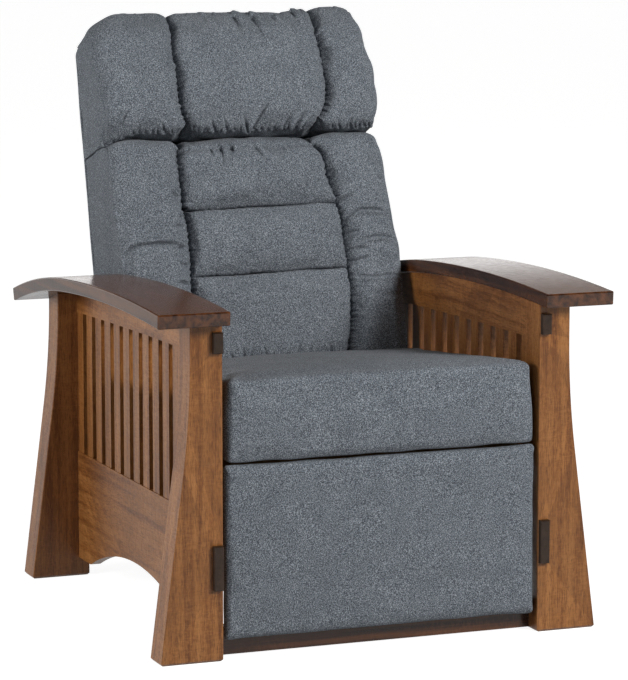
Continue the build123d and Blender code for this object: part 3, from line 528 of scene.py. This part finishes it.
# Head roll: the profile in the middle, and what it becomes at either outer end
HEAD_PROFILE = Profile(((8, 495), (-20, 501), (-48, 507)),
                       ((-48, 507), (-57, 514), (-62, 527), (-63, 545), (-60, 580), (-53, 610), (-41, 650),
                        (-24, 690), (-5, 716), (18, 737), (42, 746), (66, 744), (84, 732), (96, 714),
                        (101, 700)))
LEFT_END = Profile(((8, 490), (5, 488), (2, 487)),
                   ((2, 487), (-20, 495), (-42, 510), (-54, 526), (-58, 543), (-54, 566), (-46, 592),
                    (-38, 620), (-28, 650), (-14, 680), (2, 696), (22, 704), (45, 707), (75, 706),
                    (99, 701)))
RIGHT_END = Profile(((8, 495), (-14, 500), (-36, 505)),
                    ((-36, 505), (-46, 512), (-51, 526), (-52, 545), (-49, 580), (-42, 610), (-30, 650),
                     (-15, 690), (3, 714), (22, 730), (44, 737), (66, 736), (84, 728), (95, 714),
                     (100, 700)))
HEAD_LEFT_SEAM = line_of((487, -112), (507, -113), (520, -115), (559, -122), (614, -120), (674, -118),
                         (720, -109), (750, -104))
HEAD_RIGHT_SEAM = line_of((487, 146), (507, 147), (517, 149), (553, 165), (589, 171), (630, 172),
                          (681, 173), (720, 177), (750, 181))
HEAD_SEAM = (13.5, 24.0, 6.0)
HEAD_SPLIT = 0.14
LEFT_BEVEL = 58
RIGHT_BEND = 30
CORNER_ROLL = 12.0
CORNER_WIDTH = 22
HEAD_FOLDS = (
    (((4, 508), (-3, 519), (-10, 533)), 2.9, 2.3),
    (((14, 508), (24, 520), (36, 540), (49, 560)), 4.6, 2.5),
    (((77, 508), (81, 514), (87, 523)), 3.1, 2.1),
    (((97, 508), (107, 519), (119, 534)), 4.0, 2.3),
    (((112, 508), (122, 515), (134, 525)), 3.5, 2.1),
    (((-38, 508), (-41, 520), (-43, 532)), 2.4, 2.3),
    (((-62, 508), (-66, 517), (-70, 525)), 2.2, 2.3),
    (((18, 731), (17, 712), (19, 690), (22, 664)), 3.5, 4.8),
    (((52, 728), (54, 706), (57, 684), (60, 656)), 3.5, 4.6),
    (((91, 729), (92, 718), (93, 702)), 2.2, 3.0),
    (((140, 741), (136, 724), (131, 706)), 2.6, 3.0),
    (((-40, 734), (-38, 722), (-37, 706)), 1.3, 3.9),
)
HEAD_RIGHT_FOLDS = (
    (((200, 508), (207, 514), (214, 523)), 2.6, 1.8),
    (((228, 508), (234, 514), (240, 524)), 2.0, 1.8),
    (((180, 690), (192, 694), (206, 694)), 1.4, 2.6),
)
HEAD_LEFT_FOLDS = (
    (((-160, 508), (-163, 516), (-170, 524)), 2.4, 1.8),
    (((-235, 545), (-228, 551), (-216, 552)), 1.6, 2.0),
    (((-118, 640), (-130, 643), (-140, 642)), 1.6, 2.2),
    (((-118, 556), (-132, 560), (-140, 559)), 2.0, 2.0),
)


def head_section(name, left_edge, right_edge, creases, seed):
    """A section of the head roll between two seams, or a seam and an outer end."""
    middle = left_edge is not None and right_edge is not None
    unit, quads = box_shell(46 if middle else 28, 68, 5)
    a, b, c = crowd(unit[:, 0]), unit[:, 1], unit[:, 2]
    split = HEAD_PROFILE.corners[0]

    def trace(profile):
        corner = profile.corners[0]
        along = np.where(b < HEAD_SPLIT, b / HEAD_SPLIT * corner,
                         corner + (b - HEAD_SPLIT) / (1 - HEAD_SPLIT) * (profile.length - corner))
        return profile.at(along), along

    (r, s, nr, ns), along = trace(HEAD_PROFILE)
    x_low = left_edge(s) if left_edge else 2.4 - OUTER_EDGE[-1](s)
    x_high = right_edge(s) if right_edge else OUTER_EDGE[1](s) - 2.4
    x = x_low + (x_high - x_low) * a
    # The roll's top is lower left of its right seam
    s = s - 6.5 * smooth((170 - x) / 60) * smooth((s - 690) / 50)
    ends = np.clip(b / HEAD_SPLIT, 0.2, 1) * (0.35 + 0.65 * smooth((0.86 - b) / 0.2))
    drop = 0 * x
    if left_edge:
        drop = drop + groove(x - x_low, *HEAD_SEAM) * ends
    if right_edge:
        drop = drop + groove(x_high - x, *HEAD_SEAM) * ends
    crown = 3.0 * np.sin(pi * a) * ends
    for edge, end, distance, width, bend in ((left_edge, LEFT_END, x - x_low, LEFT_BEVEL, bevelled),
                                             (right_edge, RIGHT_END, x_high - x, RIGHT_BEND, rounded)):
        if edge is None:
            (end_r, end_s, end_nr, end_ns), _ = trace(end)
            share = bend(distance, width)
            r, s = r + (end_r - r) * share, s + (end_s - s) * share
            nr, ns = nr + (end_nr - nr) * share, ns + (end_ns - ns) * share
            drop = drop + CORNER_ROLL * rounded(distance, CORNER_WIDTH) * smooth((b - HEAD_SPLIT) / 0.05)
    drop = drop + groove(np.abs(along - split), 2.0, 4.0)
    r = r - nr * (drop - crown)
    s = s - ns * (drop - crown)
    rear_s = np.clip(HEAD_BOTTOM + (HEAD_REST - HEAD_BOTTOM) * b / 0.8, HEAD_BOTTOM, HEAD_REST)
    rear_r = PAD_REAR + (BOX_REAR - PAD_REAR) * np.clip((b - 0.8) / 0.2, 0, 1)
    place = back_to_world(x, r + (rear_r - r) * c, s + (rear_s - s) * c)
    held = (c > 0.01) | (a < 0.005) | (a > 0.995) | (b < 0.01) | (b > 0.99)
    held |= np.abs(b - HEAD_SPLIT) < 0.008

    def folds(p):
        at = HEAD_PROFILE.height
        push = lumps(p, seed, 80, 1.3)
        low_x, high_x = float(np.min(x_low)), float(np.max(x_high))
        push += gathers(p, lambda t: (low_x + t * (high_x - low_x), split), 1, seed + 1,
                        *HEAD_LOW_GATHERS)
        push += gathers(p, lambda t: (low_x + t * (high_x - low_x), at(740)), -1, seed + 2,
                        *HEAD_TOP_GATHERS)
        for edge, way, extra in ((left_edge, -1, 3), (right_edge, 1, 4)):
            if edge is not None:
                push += gathers(p, lambda t: (float(edge(510 + 205 * t)), at(510 + 205 * t)),
                                way, seed + extra, *SIDE_GATHERS)
        for points, depth, width in creases:
            push += fold(p, [(x, at(s)) for x, s in points], depth, width, 0.8, "start")
        return push

    return build_pad(name, place, quads, np.column_stack([x, along]), 1 - smooth(c * 4), held, folds)


def rounded_box(low, high, radius, cells):
    """A box whose corners are rounded, as points and quads; radius is a function of the height share."""
    low, high = np.array(low, float), np.array(high, float)
    counts = [max(8, round(size / cells)) for size in high - low]
    unit, quads = box_shell(*counts)
    p = low + (high - low) * np.stack([crowd(unit[:, i], 0.5) for i in range(3)], axis=1)
    bend = radius(unit[:, 2:3])
    inner = np.clip(p, low + bend, high - bend)
    out = p - inner
    length = np.linalg.norm(out, axis=1, keepdims=True)
    p = np.where(length > 1e-9, inner + out / np.maximum(length, 1e-9) * bend, p)
    return p, [quad[::-1] for quad in quads]


def box_of(low, high):
    """A CAD box in millimetres."""
    return np.array(low) / MM, np.array(high) / MM


SEAT_TOP = 478
SEAT_FALL = 51.0
SEAT_SWELL = 1.5


def seat_cushion():
    """The wedge seat: a tight boxed cushion, its top sloping down to the rear."""
    low, high = box_of(SEAT_LOW, SEAT_HIGH)
    low[0] -= SEAT_SWELL
    high[0] += SEAT_SWELL
    high[2] = SEAT_TOP
    p, quads = rounded_box(low, high, lambda up: 8 + 6 * up, 6.5)
    along = (p[:, 1] - low[1]) / (high[1] - low[1])
    up = (p[:, 2] - low[2]) / (high[2] - low[2])
    across = p[:, 0] / high[0]
    p[:, 2] += up * (9 * (1 - np.abs(across) ** 2.4) * (1 - (2 * along - 1) ** 4) - SEAT_FALL * along)
    p[:, 2] -= 1.6 * (1 - up) * smooth((0.1 - along) / 0.04)
    p[:, 1] -= 2.5 * (1 - across ** 6) * (1 - (2 * up - 1) ** 4) * (along < 0.02)
    held = (up < 0.03) | (along > 0.97)
    flat = np.column_stack([p[:, 0], p[:, 1] + p[:, 2]])
    return build_pad("seat_cushion_cover", p * MM, quads, flat, 1 + 0 * up, held,
                     lambda q: lumps(q, 5, 90, 0.7), levels=1, pressure=2.0, slack=0.008, cap=4.0)


def footrest_pad():
    """The flat padded board cover of the footrest."""
    low, high = box_of(REST_LOW, REST_HIGH)
    low[1] += 1.5
    high[2] += 1.4
    p, quads = rounded_box(low, high, lambda up: 9.0, 6)
    across = p[:, 0] / high[0]
    up = 2 * (p[:, 2] - low[2]) / (high[2] - low[2]) - 1
    out = 1 - (p[:, 1] - low[1]) / (high[1] - low[1])
    p[:, 1] -= out * 2.5 * (1 - across ** 6) * (1 - up ** 6)
    flat = np.column_stack([p[:, 0], p[:, 2]])
    return build_pad("footrest_cover", p * MM, quads, flat, 1 + 0 * up, out < 0.3,
                     lambda q: lumps(q, 8, 110, 0.6), levels=1, pressure=1.0, slack=0.006, cap=2.0)


def side_panel(name, side, seed):
    """The boxed side of the back: a panel beside the bolster and one beside the head roll."""
    points, faces, flat = [], [], []
    for part in ("lower", "head"):
        unit, quads = box_shell(3, 88 if part == "lower" else 44, 30)
        a, b, c = unit[:, 0], crowd(unit[:, 1], 0.3), crowd(unit[:, 2], 0.3)
        if part == "lower":
            top_r = SIDE_FRONT + (BOX_REAR - SIDE_FRONT) * c
            top_s = (SIDE_TOP - SIDE_FALL * np.maximum(top_r - 2, 0)
                     - 15 * np.clip((2 - top_r) / 42, 0, 1) ** 2)
            s = PAD_BOTTOM + (top_s - PAD_BOTTOM) * b
            front = np.where(s > SIDE_TURN, SIDE_FRONT, tucked_face(s) + SIDE_START)
            r = front + (BOX_REAR - front) * c
        else:
            end = LEFT_END if side < 0 else RIGHT_END
            corner = end.corners[0]
            along = corner + (end.length - corner) * 0.94 * b
            front_r, front_s, out_r, out_s = end.at(along)
            roll = CORNER_ROLL * smooth(b / 0.1)
            front_r, front_s = front_r - out_r * roll, front_s - out_s * roll
            rear_s = HEAD_SIDE_BOTTOM + (HEAD_SIDE_TOP - HEAD_SIDE_BOTTOM) * b
            r = front_r + (BOX_REAR - front_r) * c
            s = front_s + (rear_s - front_s) * c
            # The lower edge is bent down to the lower panel's top
            sag = s - (HEAD_SIDE_BOTTOM + SIDE_FALL * (BOX_REAR - r))
            s = s - sag * smooth((r - 4) / 14) * (1 - b) ** 4 * (b < 0.5)
        edge = np.minimum(np.minimum(b, 1 - b) * 3, np.minimum(c, 1 - c))
        tuck = 2.6 * rounded(edge, 0.06)
        if part == "head":
            soft = np.minimum(np.minimum(b * 3, (1 - b) * 1.6), c)
            tuck = np.maximum(tuck, 8 * rounded(soft, 0.12))
        swell = (OUTER_EDGE[side](s) - SIDE_HALF) * (1 - c ** 2)
        outer = SIDE_HALF + swell + 2.2 * np.sin(pi * c) * np.sin(pi * b) ** 0.4 - tuck
        inner = outer - 7
        x = side * (inner + (outer - inner) * a)
        if side < 0:
            quads = [quad[::-1] for quad in quads]
        start = sum(len(block) for block in points)
        points.append(back_to_world(x, r, s))
        faces += [[start + index for index in quad] for quad in quads]
        flat.append(np.column_stack([r, s]))
    flat = np.vstack(flat)
    held = np.ones(len(flat), bool)

    def folds(p):
        return lumps(p, seed, 70, 0.8)

    return build_pad(name, np.vstack(points), faces, flat, 1 + 0 * flat[:, 0], held, folds, levels=1, cap=0)


def rear_panel():
    """Fabric stretched over the rear of the back, folded in round its edges."""
    unit, quads = box_shell(96, 112, 4)
    a, b, c = crowd(unit[:, 0], 0.5), crowd(unit[:, 1], 0.5), unit[:, 2]
    s = PAD_BOTTOM + (PANEL_TOP - PAD_BOTTOM) * b
    half = HALF_BACK / MM - 12 * rounded(PANEL_TOP - s, 18)
    x = (2 * a - 1) * half
    edge = np.minimum(half - np.abs(x), np.minimum(s - PAD_BOTTOM, PANEL_TOP - s))
    rear = BACK_REAR - 4.5 * rounded(edge, 7) - 1.6 * np.sin(pi * a) * np.sin(pi * b)
    r = PANEL_REAR + 0.4 + (rear - PANEL_REAR - 0.4) * c
    return build_pad("outer_back_cover", back_to_world(x, r, s), quads, np.column_stack([x, s]), c,
                     np.ones(len(x), bool), lambda p: lumps(p, 3, 160, 0.5), levels=1, cap=0)


# Node-based materials
class Shader:
    """A principled material that is built node by node."""

    def __init__(self, name):
        self.material = bpy.data.materials.new(name)
        self.material.use_nodes = True
        self.tree = self.material.node_tree
        self.surface = self.tree.nodes["Principled BSDF"]

    def node(self, kind, sockets=None, **settings):
        made = self.tree.nodes.new(kind)
        for key, value in settings.items():
            setattr(made, key, value)
        for key, value in (sockets or {}).items():
            if isinstance(value, bpy.types.NodeSocket):
                self.tree.links.new(value, made.inputs[key])
            else:
                made.inputs[key].default_value = value
        return made

    def place(self, scale, turn=(0, 0, 0)):
        coords = self.node("ShaderNodeTexCoord").outputs["Object"]
        mapping = self.node("ShaderNodeMapping", {"Vector": coords, "Scale": scale, "Rotation": turn})
        return mapping.outputs[0]

    def noise(self, vector, scale, detail=2.0, roughness=0.5, distortion=0.0):
        made = self.node("ShaderNodeTexNoise", {"Vector": vector, "Scale": scale, "Detail": detail,
                                                "Roughness": roughness, "Distortion": distortion})
        return made.outputs["Fac"]

    def ramp(self, factor, *stops):
        made = self.node("ShaderNodeValToRGB", {"Fac": factor})
        elements = made.color_ramp.elements
        while len(elements) < len(stops):
            elements.new(0.5)
        for element, (at, colour) in zip(elements, stops):
            element.position = at
            element.color = (*colour, 1) if len(colour) == 3 else colour
        return made.outputs["Color"]

    def level(self, factor, low, high, out_low=0.0, out_high=1.0):
        return self.node("ShaderNodeMapRange", {"Value": factor, "From Min": low, "From Max": high,
                                                "To Min": out_low, "To Max": out_high}).outputs[0]

    def mix(self, factor, one, two, kind="MIX"):
        made = self.node("ShaderNodeMix", data_type="RGBA", blend_type=kind)
        for key, value in ((0, factor), (6, one), (7, two)):
            if isinstance(value, bpy.types.NodeSocket):
                self.tree.links.new(value, made.inputs[key])
            elif key == 0:
                made.inputs[key].default_value = value
            else:
                made.inputs[key].default_value = (*value, 1)
        return made.outputs[2]

    def maths(self, kind, one, two):
        return self.node("ShaderNodeMath", {0: one, 1: two}, operation=kind).outputs[0]

    def bump(self, height, distance, strength=1.0):
        made = self.node("ShaderNodeBump", {"Height": height, "Distance": distance, "Strength": strength})
        self.tree.links.new(made.outputs[0], self.surface.inputs["Normal"])

    def set(self, **values):
        for key, value in values.items():
            socket = self.surface.inputs[key.replace("_", " ")]
            if isinstance(value, bpy.types.NodeSocket):
                self.tree.links.new(value, socket)
            else:
                socket.default_value = value


def rgb(red, green, blue):
    """A colour given as it shows on a screen, 0 to 255, turned into linear light."""
    def linear(value):
        value /= 255
        return value / 12.92 if value <= 0.04045 else ((value + 0.055) / 1.055) ** 2.4
    return linear(red), linear(green), linear(blue)


def tweed(name, dark, base, light):
    """Heathered tweed: dense light and dark flecks over a grey ground, a fine weave and a dusty sheen."""
    m = Shader(name)
    flat = m.place((1, 1, 1))
    fleck = m.noise(flat, scale=560, detail=1.5, roughness=0.6, distortion=0.2)
    turned = m.place((1, 1, 1), (0.7, 0.4, 0.9))
    spots = m.noise(turned, scale=640, detail=1.0, roughness=0.5, distortion=0.2)
    fine = m.noise(flat, scale=1100, detail=1.0, roughness=0.5)
    cloud = m.noise(flat, scale=22, detail=3.0, roughness=0.55)
    yarn = m.ramp(fleck, (0.36, dark), (0.47, base), (0.54, base), (0.66, light))
    spotted = m.mix(m.level(spots, 0.56, 0.66, 0.0, 0.75), yarn, light)
    pitted = m.mix(m.level(spots, 0.34, 0.43, 0.7, 0.0), spotted, dark)
    mixed = m.mix(m.level(fine, 0.3, 0.7, 0.0, 0.35), pitted, base)
    shade = m.ramp(cloud, (0.3, (0.9, 0.905, 0.91)), (0.7, (1.07, 1.07, 1.065)))
    m.set(Base_Color=m.mix(1.0, mixed, shade, "MULTIPLY"), Roughness=0.85)
    m.set(Sheen_Weight=0.08, Sheen_Roughness=0.5, Specular_IOR_Level=0.2)
    weave = m.maths("ADD", fleck, m.maths("MULTIPLY", fine, 0.6))
    m.bump(weave, 0.7 * MM, 0.7)
    return m.material


GRAIN_SCALES = {"X": (0.035, 1, 1), "Y": (1, 0.035, 1), "Z": (1, 1, 0.035)}
STREAK_SCALES = {"X": (0.1, 1, 1), "Y": (1, 0.1, 1), "Z": (1, 1, 0.1)}
FLECK_SCALES = {"X": (1, 0.3, 0.3), "Y": (0.3, 1, 0.3), "Z": (0.3, 0.3, 1)}
FLECK_TURNS = {"X": (0.1, 0.3, 0.35), "Y": (0.3, 0.1, 0.35), "Z": (0.75, 0.8, 0.1)}


def wood(name, grain, dark, base, light, streak, figure, roughness, gloss, wear_and_top_light=0.0):
    """Open-grained wood along one axis: bands, streaks, pores, ray flecks, painted top light by a share."""
    m = Shader(name)
    bands = m.noise(m.place(GRAIN_SCALES[grain]), scale=70, detail=3.0, roughness=0.5, distortion=0.4)
    dash = m.place(STREAK_SCALES[grain])
    streaks = m.noise(dash, scale=480, detail=3.0, roughness=0.6, distortion=0.9)
    pores = m.noise(dash, scale=900, detail=2.0, roughness=0.6)
    flecks = m.place(FLECK_SCALES[grain], FLECK_TURNS[grain])
    rays = m.noise(flecks, scale=250, detail=2.0, roughness=0.6, distortion=0.7)
    patch = m.noise(m.place((1, 1, 1)), scale=7, detail=2.0, roughness=0.5)
    ground = m.mix(m.level(bands, 0.4, 0.64, 0.0, 0.6), base, light)
    banded = m.mix(m.level(bands, 0.32, 0.48, 0.45, 0.0), ground, dark)
    streaked = m.mix(m.level(streaks, 0.34, 0.5, streak, 0.0), banded, dark)
    bright = m.mix(m.level(streaks, 0.52, 0.68, 0.0, streak * 0.8), streaked, light)
    pored = m.mix(m.level(pores, 0.36, 0.46, streak * 0.5, 0.0), bright, dark)
    shown = m.level(patch, 0.42, 0.58, 0.25, 1.0)
    pale_rays = m.maths("MULTIPLY", m.level(rays, 0.5, 0.62, 0.0, figure), shown)
    deep_rays = m.maths("MULTIPLY", m.level(rays, 0.46, 0.38, 0.0, figure * 0.8), shown)
    flecked = m.mix(deep_rays, m.mix(pale_rays, pored, light), dark)
    island = m.node("ShaderNodeNewGeometry").outputs["Random Per Island"]
    tone = m.ramp(m.maths("ADD", m.maths("MULTIPLY", patch, 0.7), m.maths("MULTIPLY", island, 0.3)),
                  (0.3, (0.8, 0.77, 0.74)), (0.72, (1.16, 1.17, 1.18)))
    toned = m.mix(1.0, flecked, tone, "MULTIPLY")
    # Painted top light: faces that point up are mixed towards the light colour by the given share, a painted
    # highlight on the tops
    if wear_and_top_light:
        normal = m.node("ShaderNodeTexCoord").outputs["Normal"]
        up = m.node("ShaderNodeSeparateXYZ", {"Vector": normal}).outputs["Z"]
        toned = m.mix(m.level(up, 0.7, 0.95, 0.0, wear_and_top_light), toned, light)
    m.set(Base_Color=toned)
    m.set(Roughness=m.level(rays, 0.3, 0.7, roughness + 0.06, roughness - 0.06))
    m.set(Specular_IOR_Level=gloss)
    relief = m.maths("ADD", m.maths("MULTIPLY", pores, 0.4), m.maths("MULTIPLY", streaks, 0.6))
    m.bump(relief, 0.25 * MM, 0.5)
    return m.material


def enamel(name, colour):
    """Satin black enamel over pressed steel, with faint orange peel and rubbed spots."""
    m = Shader(name)
    peel = m.noise(m.place((1, 1, 1)), scale=900, detail=2.0)
    rub = m.noise(m.place((1, 1, 1)), scale=45, detail=4.0, roughness=0.7)
    wear_and_top_light = m.mix(m.level(rub, 0.62, 0.72, 0.0, 0.5), colour, rgb(92, 92, 95))
    m.set(Base_Color=wear_and_top_light, Roughness=m.level(rub, 0.3, 0.7, 0.36, 0.52), Metallic=0.0)
    m.bump(peel, 0.1 * MM, 0.4)
    return m.material


def zinc(name):
    """Bright zinc plating with drawn streaks."""
    m = Shader(name)
    streak = m.noise(m.place((0.08, 1, 1)), scale=700, detail=2.0)
    spangle = m.noise(m.place((1, 1, 1)), scale=160, detail=3.0)
    m.set(Base_Color=m.ramp(spangle, (0.35, rgb(150, 152, 155)), (0.65, rgb(196, 198, 200))), Metallic=1.0,
          Roughness=m.level(streak, 0.3, 0.7, 0.24, 0.42))
    m.bump(streak, 0.05 * MM, 0.4)
    return m.material


def strap(name):
    """Woven elastic webbing: ribs along the strap and a crossing weft."""
    m = Shader(name)
    ribs = m.node("ShaderNodeTexWave", {"Vector": m.place((1, 1, 1)), "Scale": 160.0, "Distortion": 0.4},
                  bands_direction="Z").outputs["Fac"]
    weft = m.noise(m.place((1, 1, 1)), scale=900, detail=1.0)
    tone = m.maths("ADD", m.maths("MULTIPLY", ribs, 0.6), m.maths("MULTIPLY", weft, 0.4))
    m.set(Base_Color=m.ramp(tone, (0.3, rgb(30, 30, 32)), (0.7, rgb(78, 76, 74))), Roughness=0.85)
    m.bump(ribs, 0.5 * MM, 0.7)
    return m.material


OAK = dict(dark=rgb(76, 39, 14), base=rgb(130, 80, 37), light=rgb(166, 114, 64),
           streak=0.6, figure=0.2, roughness=0.38, gloss=0.5)
# The walnut's upward faces get painted top light, mixed 0.6 of the way to its light colour
WALNUT = dict(dark=rgb(34, 17, 9), base=rgb(50, 27, 15), light=rgb(112, 67, 36),
              streak=0.2, figure=0.2, roughness=0.18, gloss=0.45, wear_and_top_light=0.6)
TENON_END = dict(dark=rgb(34, 23, 17), base=rgb(48, 35, 26), light=rgb(62, 46, 36),
                 streak=0.25, figure=0.2, roughness=0.45, gloss=0.4)
BARE_WOOD = dict(dark=rgb(128, 98, 66), base=rgb(162, 130, 92), light=rgb(184, 154, 114),
                 streak=0.35, figure=0.3, roughness=0.7, gloss=0.3)

oak = {axis: wood(f"oak_{axis}", axis, **OAK) for axis in "XYZ"}
walnut = {axis: wood(f"dark_wood_{axis}", axis, **WALNUT) for axis in "XY"}
caps = wood("tenon_ends", "Y", **TENON_END)
bare = {axis: wood(f"bare_wood_{axis}", axis, **BARE_WOOD) for axis in "XYZ"}
black_steel = enamel("black_enamel", rgb(30, 30, 33))
bright_steel = zinc("zinc_plate")
webbing = strap("webbing")
cloth = tweed("tweed", rgb(48, 53, 59), rgb(95, 101, 108), rgb(164, 170, 176))


def grain_of(name):
    """The axis along which a wooden piece is sawn."""
    if "stretcher" in name or name in ("seat_front_rail", "seat_rear_rail", "back_top_rail",
                                       "back_bottom_rail", "footrest_board"):
        return "X"
    if "post" in name or "slats" in name or name.endswith("back_rail") or name == "arm_dowels":
        return "Z"
    return "Y"


def dress_frame():
    """Give each node that stays its material."""
    slot_of = {part["node"]: part["material_slot"] for part in frame["record"]["subparts"]}
    for name, node in nodes.items():
        slot = slot_of[name]
        grain = grain_of(name)
        choice = {"oak_frame": oak.get(grain), "dark_wood": walnut.get(grain), "tenon_ends": caps,
                  "inner_wood": bare.get(grain), "mechanism_steel": black_steel,
                  "bright_steel": bright_steel, "webbing": webbing, "tweed": cloth}[slot]
        for place in node.material_slots:
            place.material = choice


def dress_soft(piece, body, fill, *replaced):
    piece.data.materials.clear()
    piece.data.materials.append(cloth)
    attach(piece, body)
    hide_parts(*replaced)


def build_upholstery():
    dress_soft(seat_cushion(), "seat", 0.8, "seat_cushion")
    dress_soft(footrest_pad(), "footrest", 0.8, "footrest_pad")
    seams = (PAD_BOTTOM, *CHANNEL_SEAMS, PAD_TOP)
    for name, low, high, seed in zip(("lower", "middle", "upper"), seams, seams[1:], (11, 23, 37)):
        dress_soft(channel(f"back_{name}_channel_cover", low, high, seed), "back", 0.75,
                   f"back_{name}_channel")
    dress_soft(bolster("left_bolster_cover", -1, LEFT_FOLDS, 41), "back", 0.75, "left_back_bolster")
    dress_soft(bolster("right_bolster_cover", 1, RIGHT_FOLDS, 53), "back", 0.75, "right_back_bolster")
    for name, left, right, creases, seed in (("left", None, HEAD_LEFT_SEAM, HEAD_LEFT_FOLDS, 61),
                                             ("center", HEAD_LEFT_SEAM, HEAD_RIGHT_SEAM, HEAD_FOLDS, 73),
                                             ("right", HEAD_RIGHT_SEAM, None, HEAD_RIGHT_FOLDS, 87)):
        dress_soft(head_section(f"head_{name}", left, right, creases, seed), "back", 0.75,
                   f"head_roll_{name}")
    for name, side, seed in (("left", -1, 91), ("right", 1, 97)):
        dress_soft(side_panel(f"{name}_side_panel", side, seed), "back", 0.5, f"{name}_back_side")
    dress_soft(rear_panel(), "back", 0.4, "outer_back")


# Camera: place, turn and lens that give the photograph's view
CAMERA_PLACE = (-2.2072, -5.6885, 1.3772)
CAMERA_PAN = radians(21.528)
CAMERA_DIP = radians(8.434)
CAMERA_LENS = 181.4


def build_camera():
    data = bpy.data.cameras.new("camera")
    data.lens = CAMERA_LENS
    data.sensor_width = 36
    camera = bpy.data.objects.new("camera", data)
    camera.location = CAMERA_PLACE
    camera.rotation_euler = Euler((pi / 2 - CAMERA_DIP, 0, -CAMERA_PAN))
    bpy.context.scene.collection.objects.link(camera)
    bpy.context.scene.camera = camera


# Light: the lamps' places, sizes and watts, the strength of world and floor as they light the chair and as
# they are seen, and the room in reflections by direction: axis, two directions and the brightness at each
LIT_PLACE = (0, 0, 0.9)
KEY_LIGHT = ((2.6, -4.4, 3.1), 1.7, 290)
FILL_LIGHT = ((-5.3, -0.7, 1.7), 2.0, 180)
WORLD_LIGHT, WORLD_SEEN = 0.16, 1.1
FLOOR_GREY, FLOOR_SEEN, FLOOR_GLOSS = 0.4, 0.92, 0.55
ROOM_GLOSS = (("Y", -0.3, 0.7, 0.05, 1.5), ("Z", 0.3, 0.03, 0.02, 1.0))


def area_light(name, place, size, energy):
    data = bpy.data.lights.new(name, "AREA")
    data.size = size
    data.energy = energy
    light = bpy.data.objects.new(name, data)
    light.location = place
    light.rotation_euler = (Vector(LIT_PLACE) - Vector(place)).to_track_quat("-Z", "Y").to_euler()
    light.visible_glossy = False
    bpy.context.scene.collection.objects.link(light)


def white_to_view(tree, low, high, gloss):
    """A strength: low where it lights the chair, high where the camera sees it, gloss in reflections."""
    path = tree.nodes.new("ShaderNodeLightPath")
    strength = low
    for ray, value in (("Is Glossy Ray", gloss), ("Is Transmission Ray", high), ("Is Camera Ray", high)):
        blend = tree.nodes.new("ShaderNodeMix")
        tree.links.new(path.outputs[ray], blend.inputs[0])
        for socket, part in ((2, strength), (3, value)):
            if isinstance(part, bpy.types.NodeSocket):
                tree.links.new(part, blend.inputs[socket])
            else:
                blend.inputs[socket].default_value = part
        strength = blend.outputs[0]
    return strength


def room_gloss(tree):
    """Brightness of the room in reflections: dim ahead and overhead, bright low at the rear."""
    coords = tree.nodes.new("ShaderNodeTexCoord")
    parts = tree.nodes.new("ShaderNodeSeparateXYZ")
    tree.links.new(coords.outputs["Generated"], parts.inputs[0])
    product = tree.nodes.new("ShaderNodeMath")
    product.operation = "MULTIPLY"
    for index, (axis, low, high, dim, bright) in enumerate(ROOM_GLOSS):
        spread = tree.nodes.new("ShaderNodeMapRange")
        for key, value in (("From Min", low), ("From Max", high), ("To Min", dim), ("To Max", bright)):
            spread.inputs[key].default_value = value
        tree.links.new(parts.outputs[axis], spread.inputs["Value"])
        tree.links.new(spread.outputs[0], product.inputs[index])
    return product.outputs[0]


def build_lights():
    area_light("key", *KEY_LIGHT)
    area_light("fill", *FILL_LIGHT)
    world = bpy.data.worlds.new("studio")
    world.use_nodes = True
    bpy.context.scene.world = world
    tree = world.node_tree
    background = tree.nodes["Background"]
    background.inputs["Color"].default_value = (1, 1, 1, 1)
    strength = white_to_view(tree, WORLD_LIGHT, WORLD_SEEN, room_gloss(tree))
    tree.links.new(strength, background.inputs["Strength"])


def build_floor():
    """A pale floor that shows white to the camera and keeps the chair's soft shadow."""
    half = 30.0
    corners = [(-half, -half, 0), (half, -half, 0), (half, half, 0), (-half, half, 0)]
    floor = make_mesh("studio_floor", corners, [(0, 1, 2, 3)])
    m = Shader("studio_floor")
    m.set(Base_Color=(FLOOR_GREY, FLOOR_GREY, FLOOR_GREY, 1), Roughness=0.9, Specular_IOR_Level=0.1)
    glow = m.node("ShaderNodeEmission", {"Color": (1, 1, 1, 1)})
    m.tree.links.new(white_to_view(m.tree, 0.0, FLOOR_SEEN, FLOOR_GLOSS), glow.inputs["Strength"])
    added = m.node("ShaderNodeAddShader", {0: glow.outputs[0], 1: m.surface.outputs[0]})
    m.tree.links.new(added.outputs[0], m.tree.nodes["Material Output"].inputs["Surface"])
    floor.data.materials.append(m.material)


bpy.context.scene.view_settings.view_transform = "Standard"
build_camera()
build_lights()
build_floor()
dress_frame()
build_upholstery()
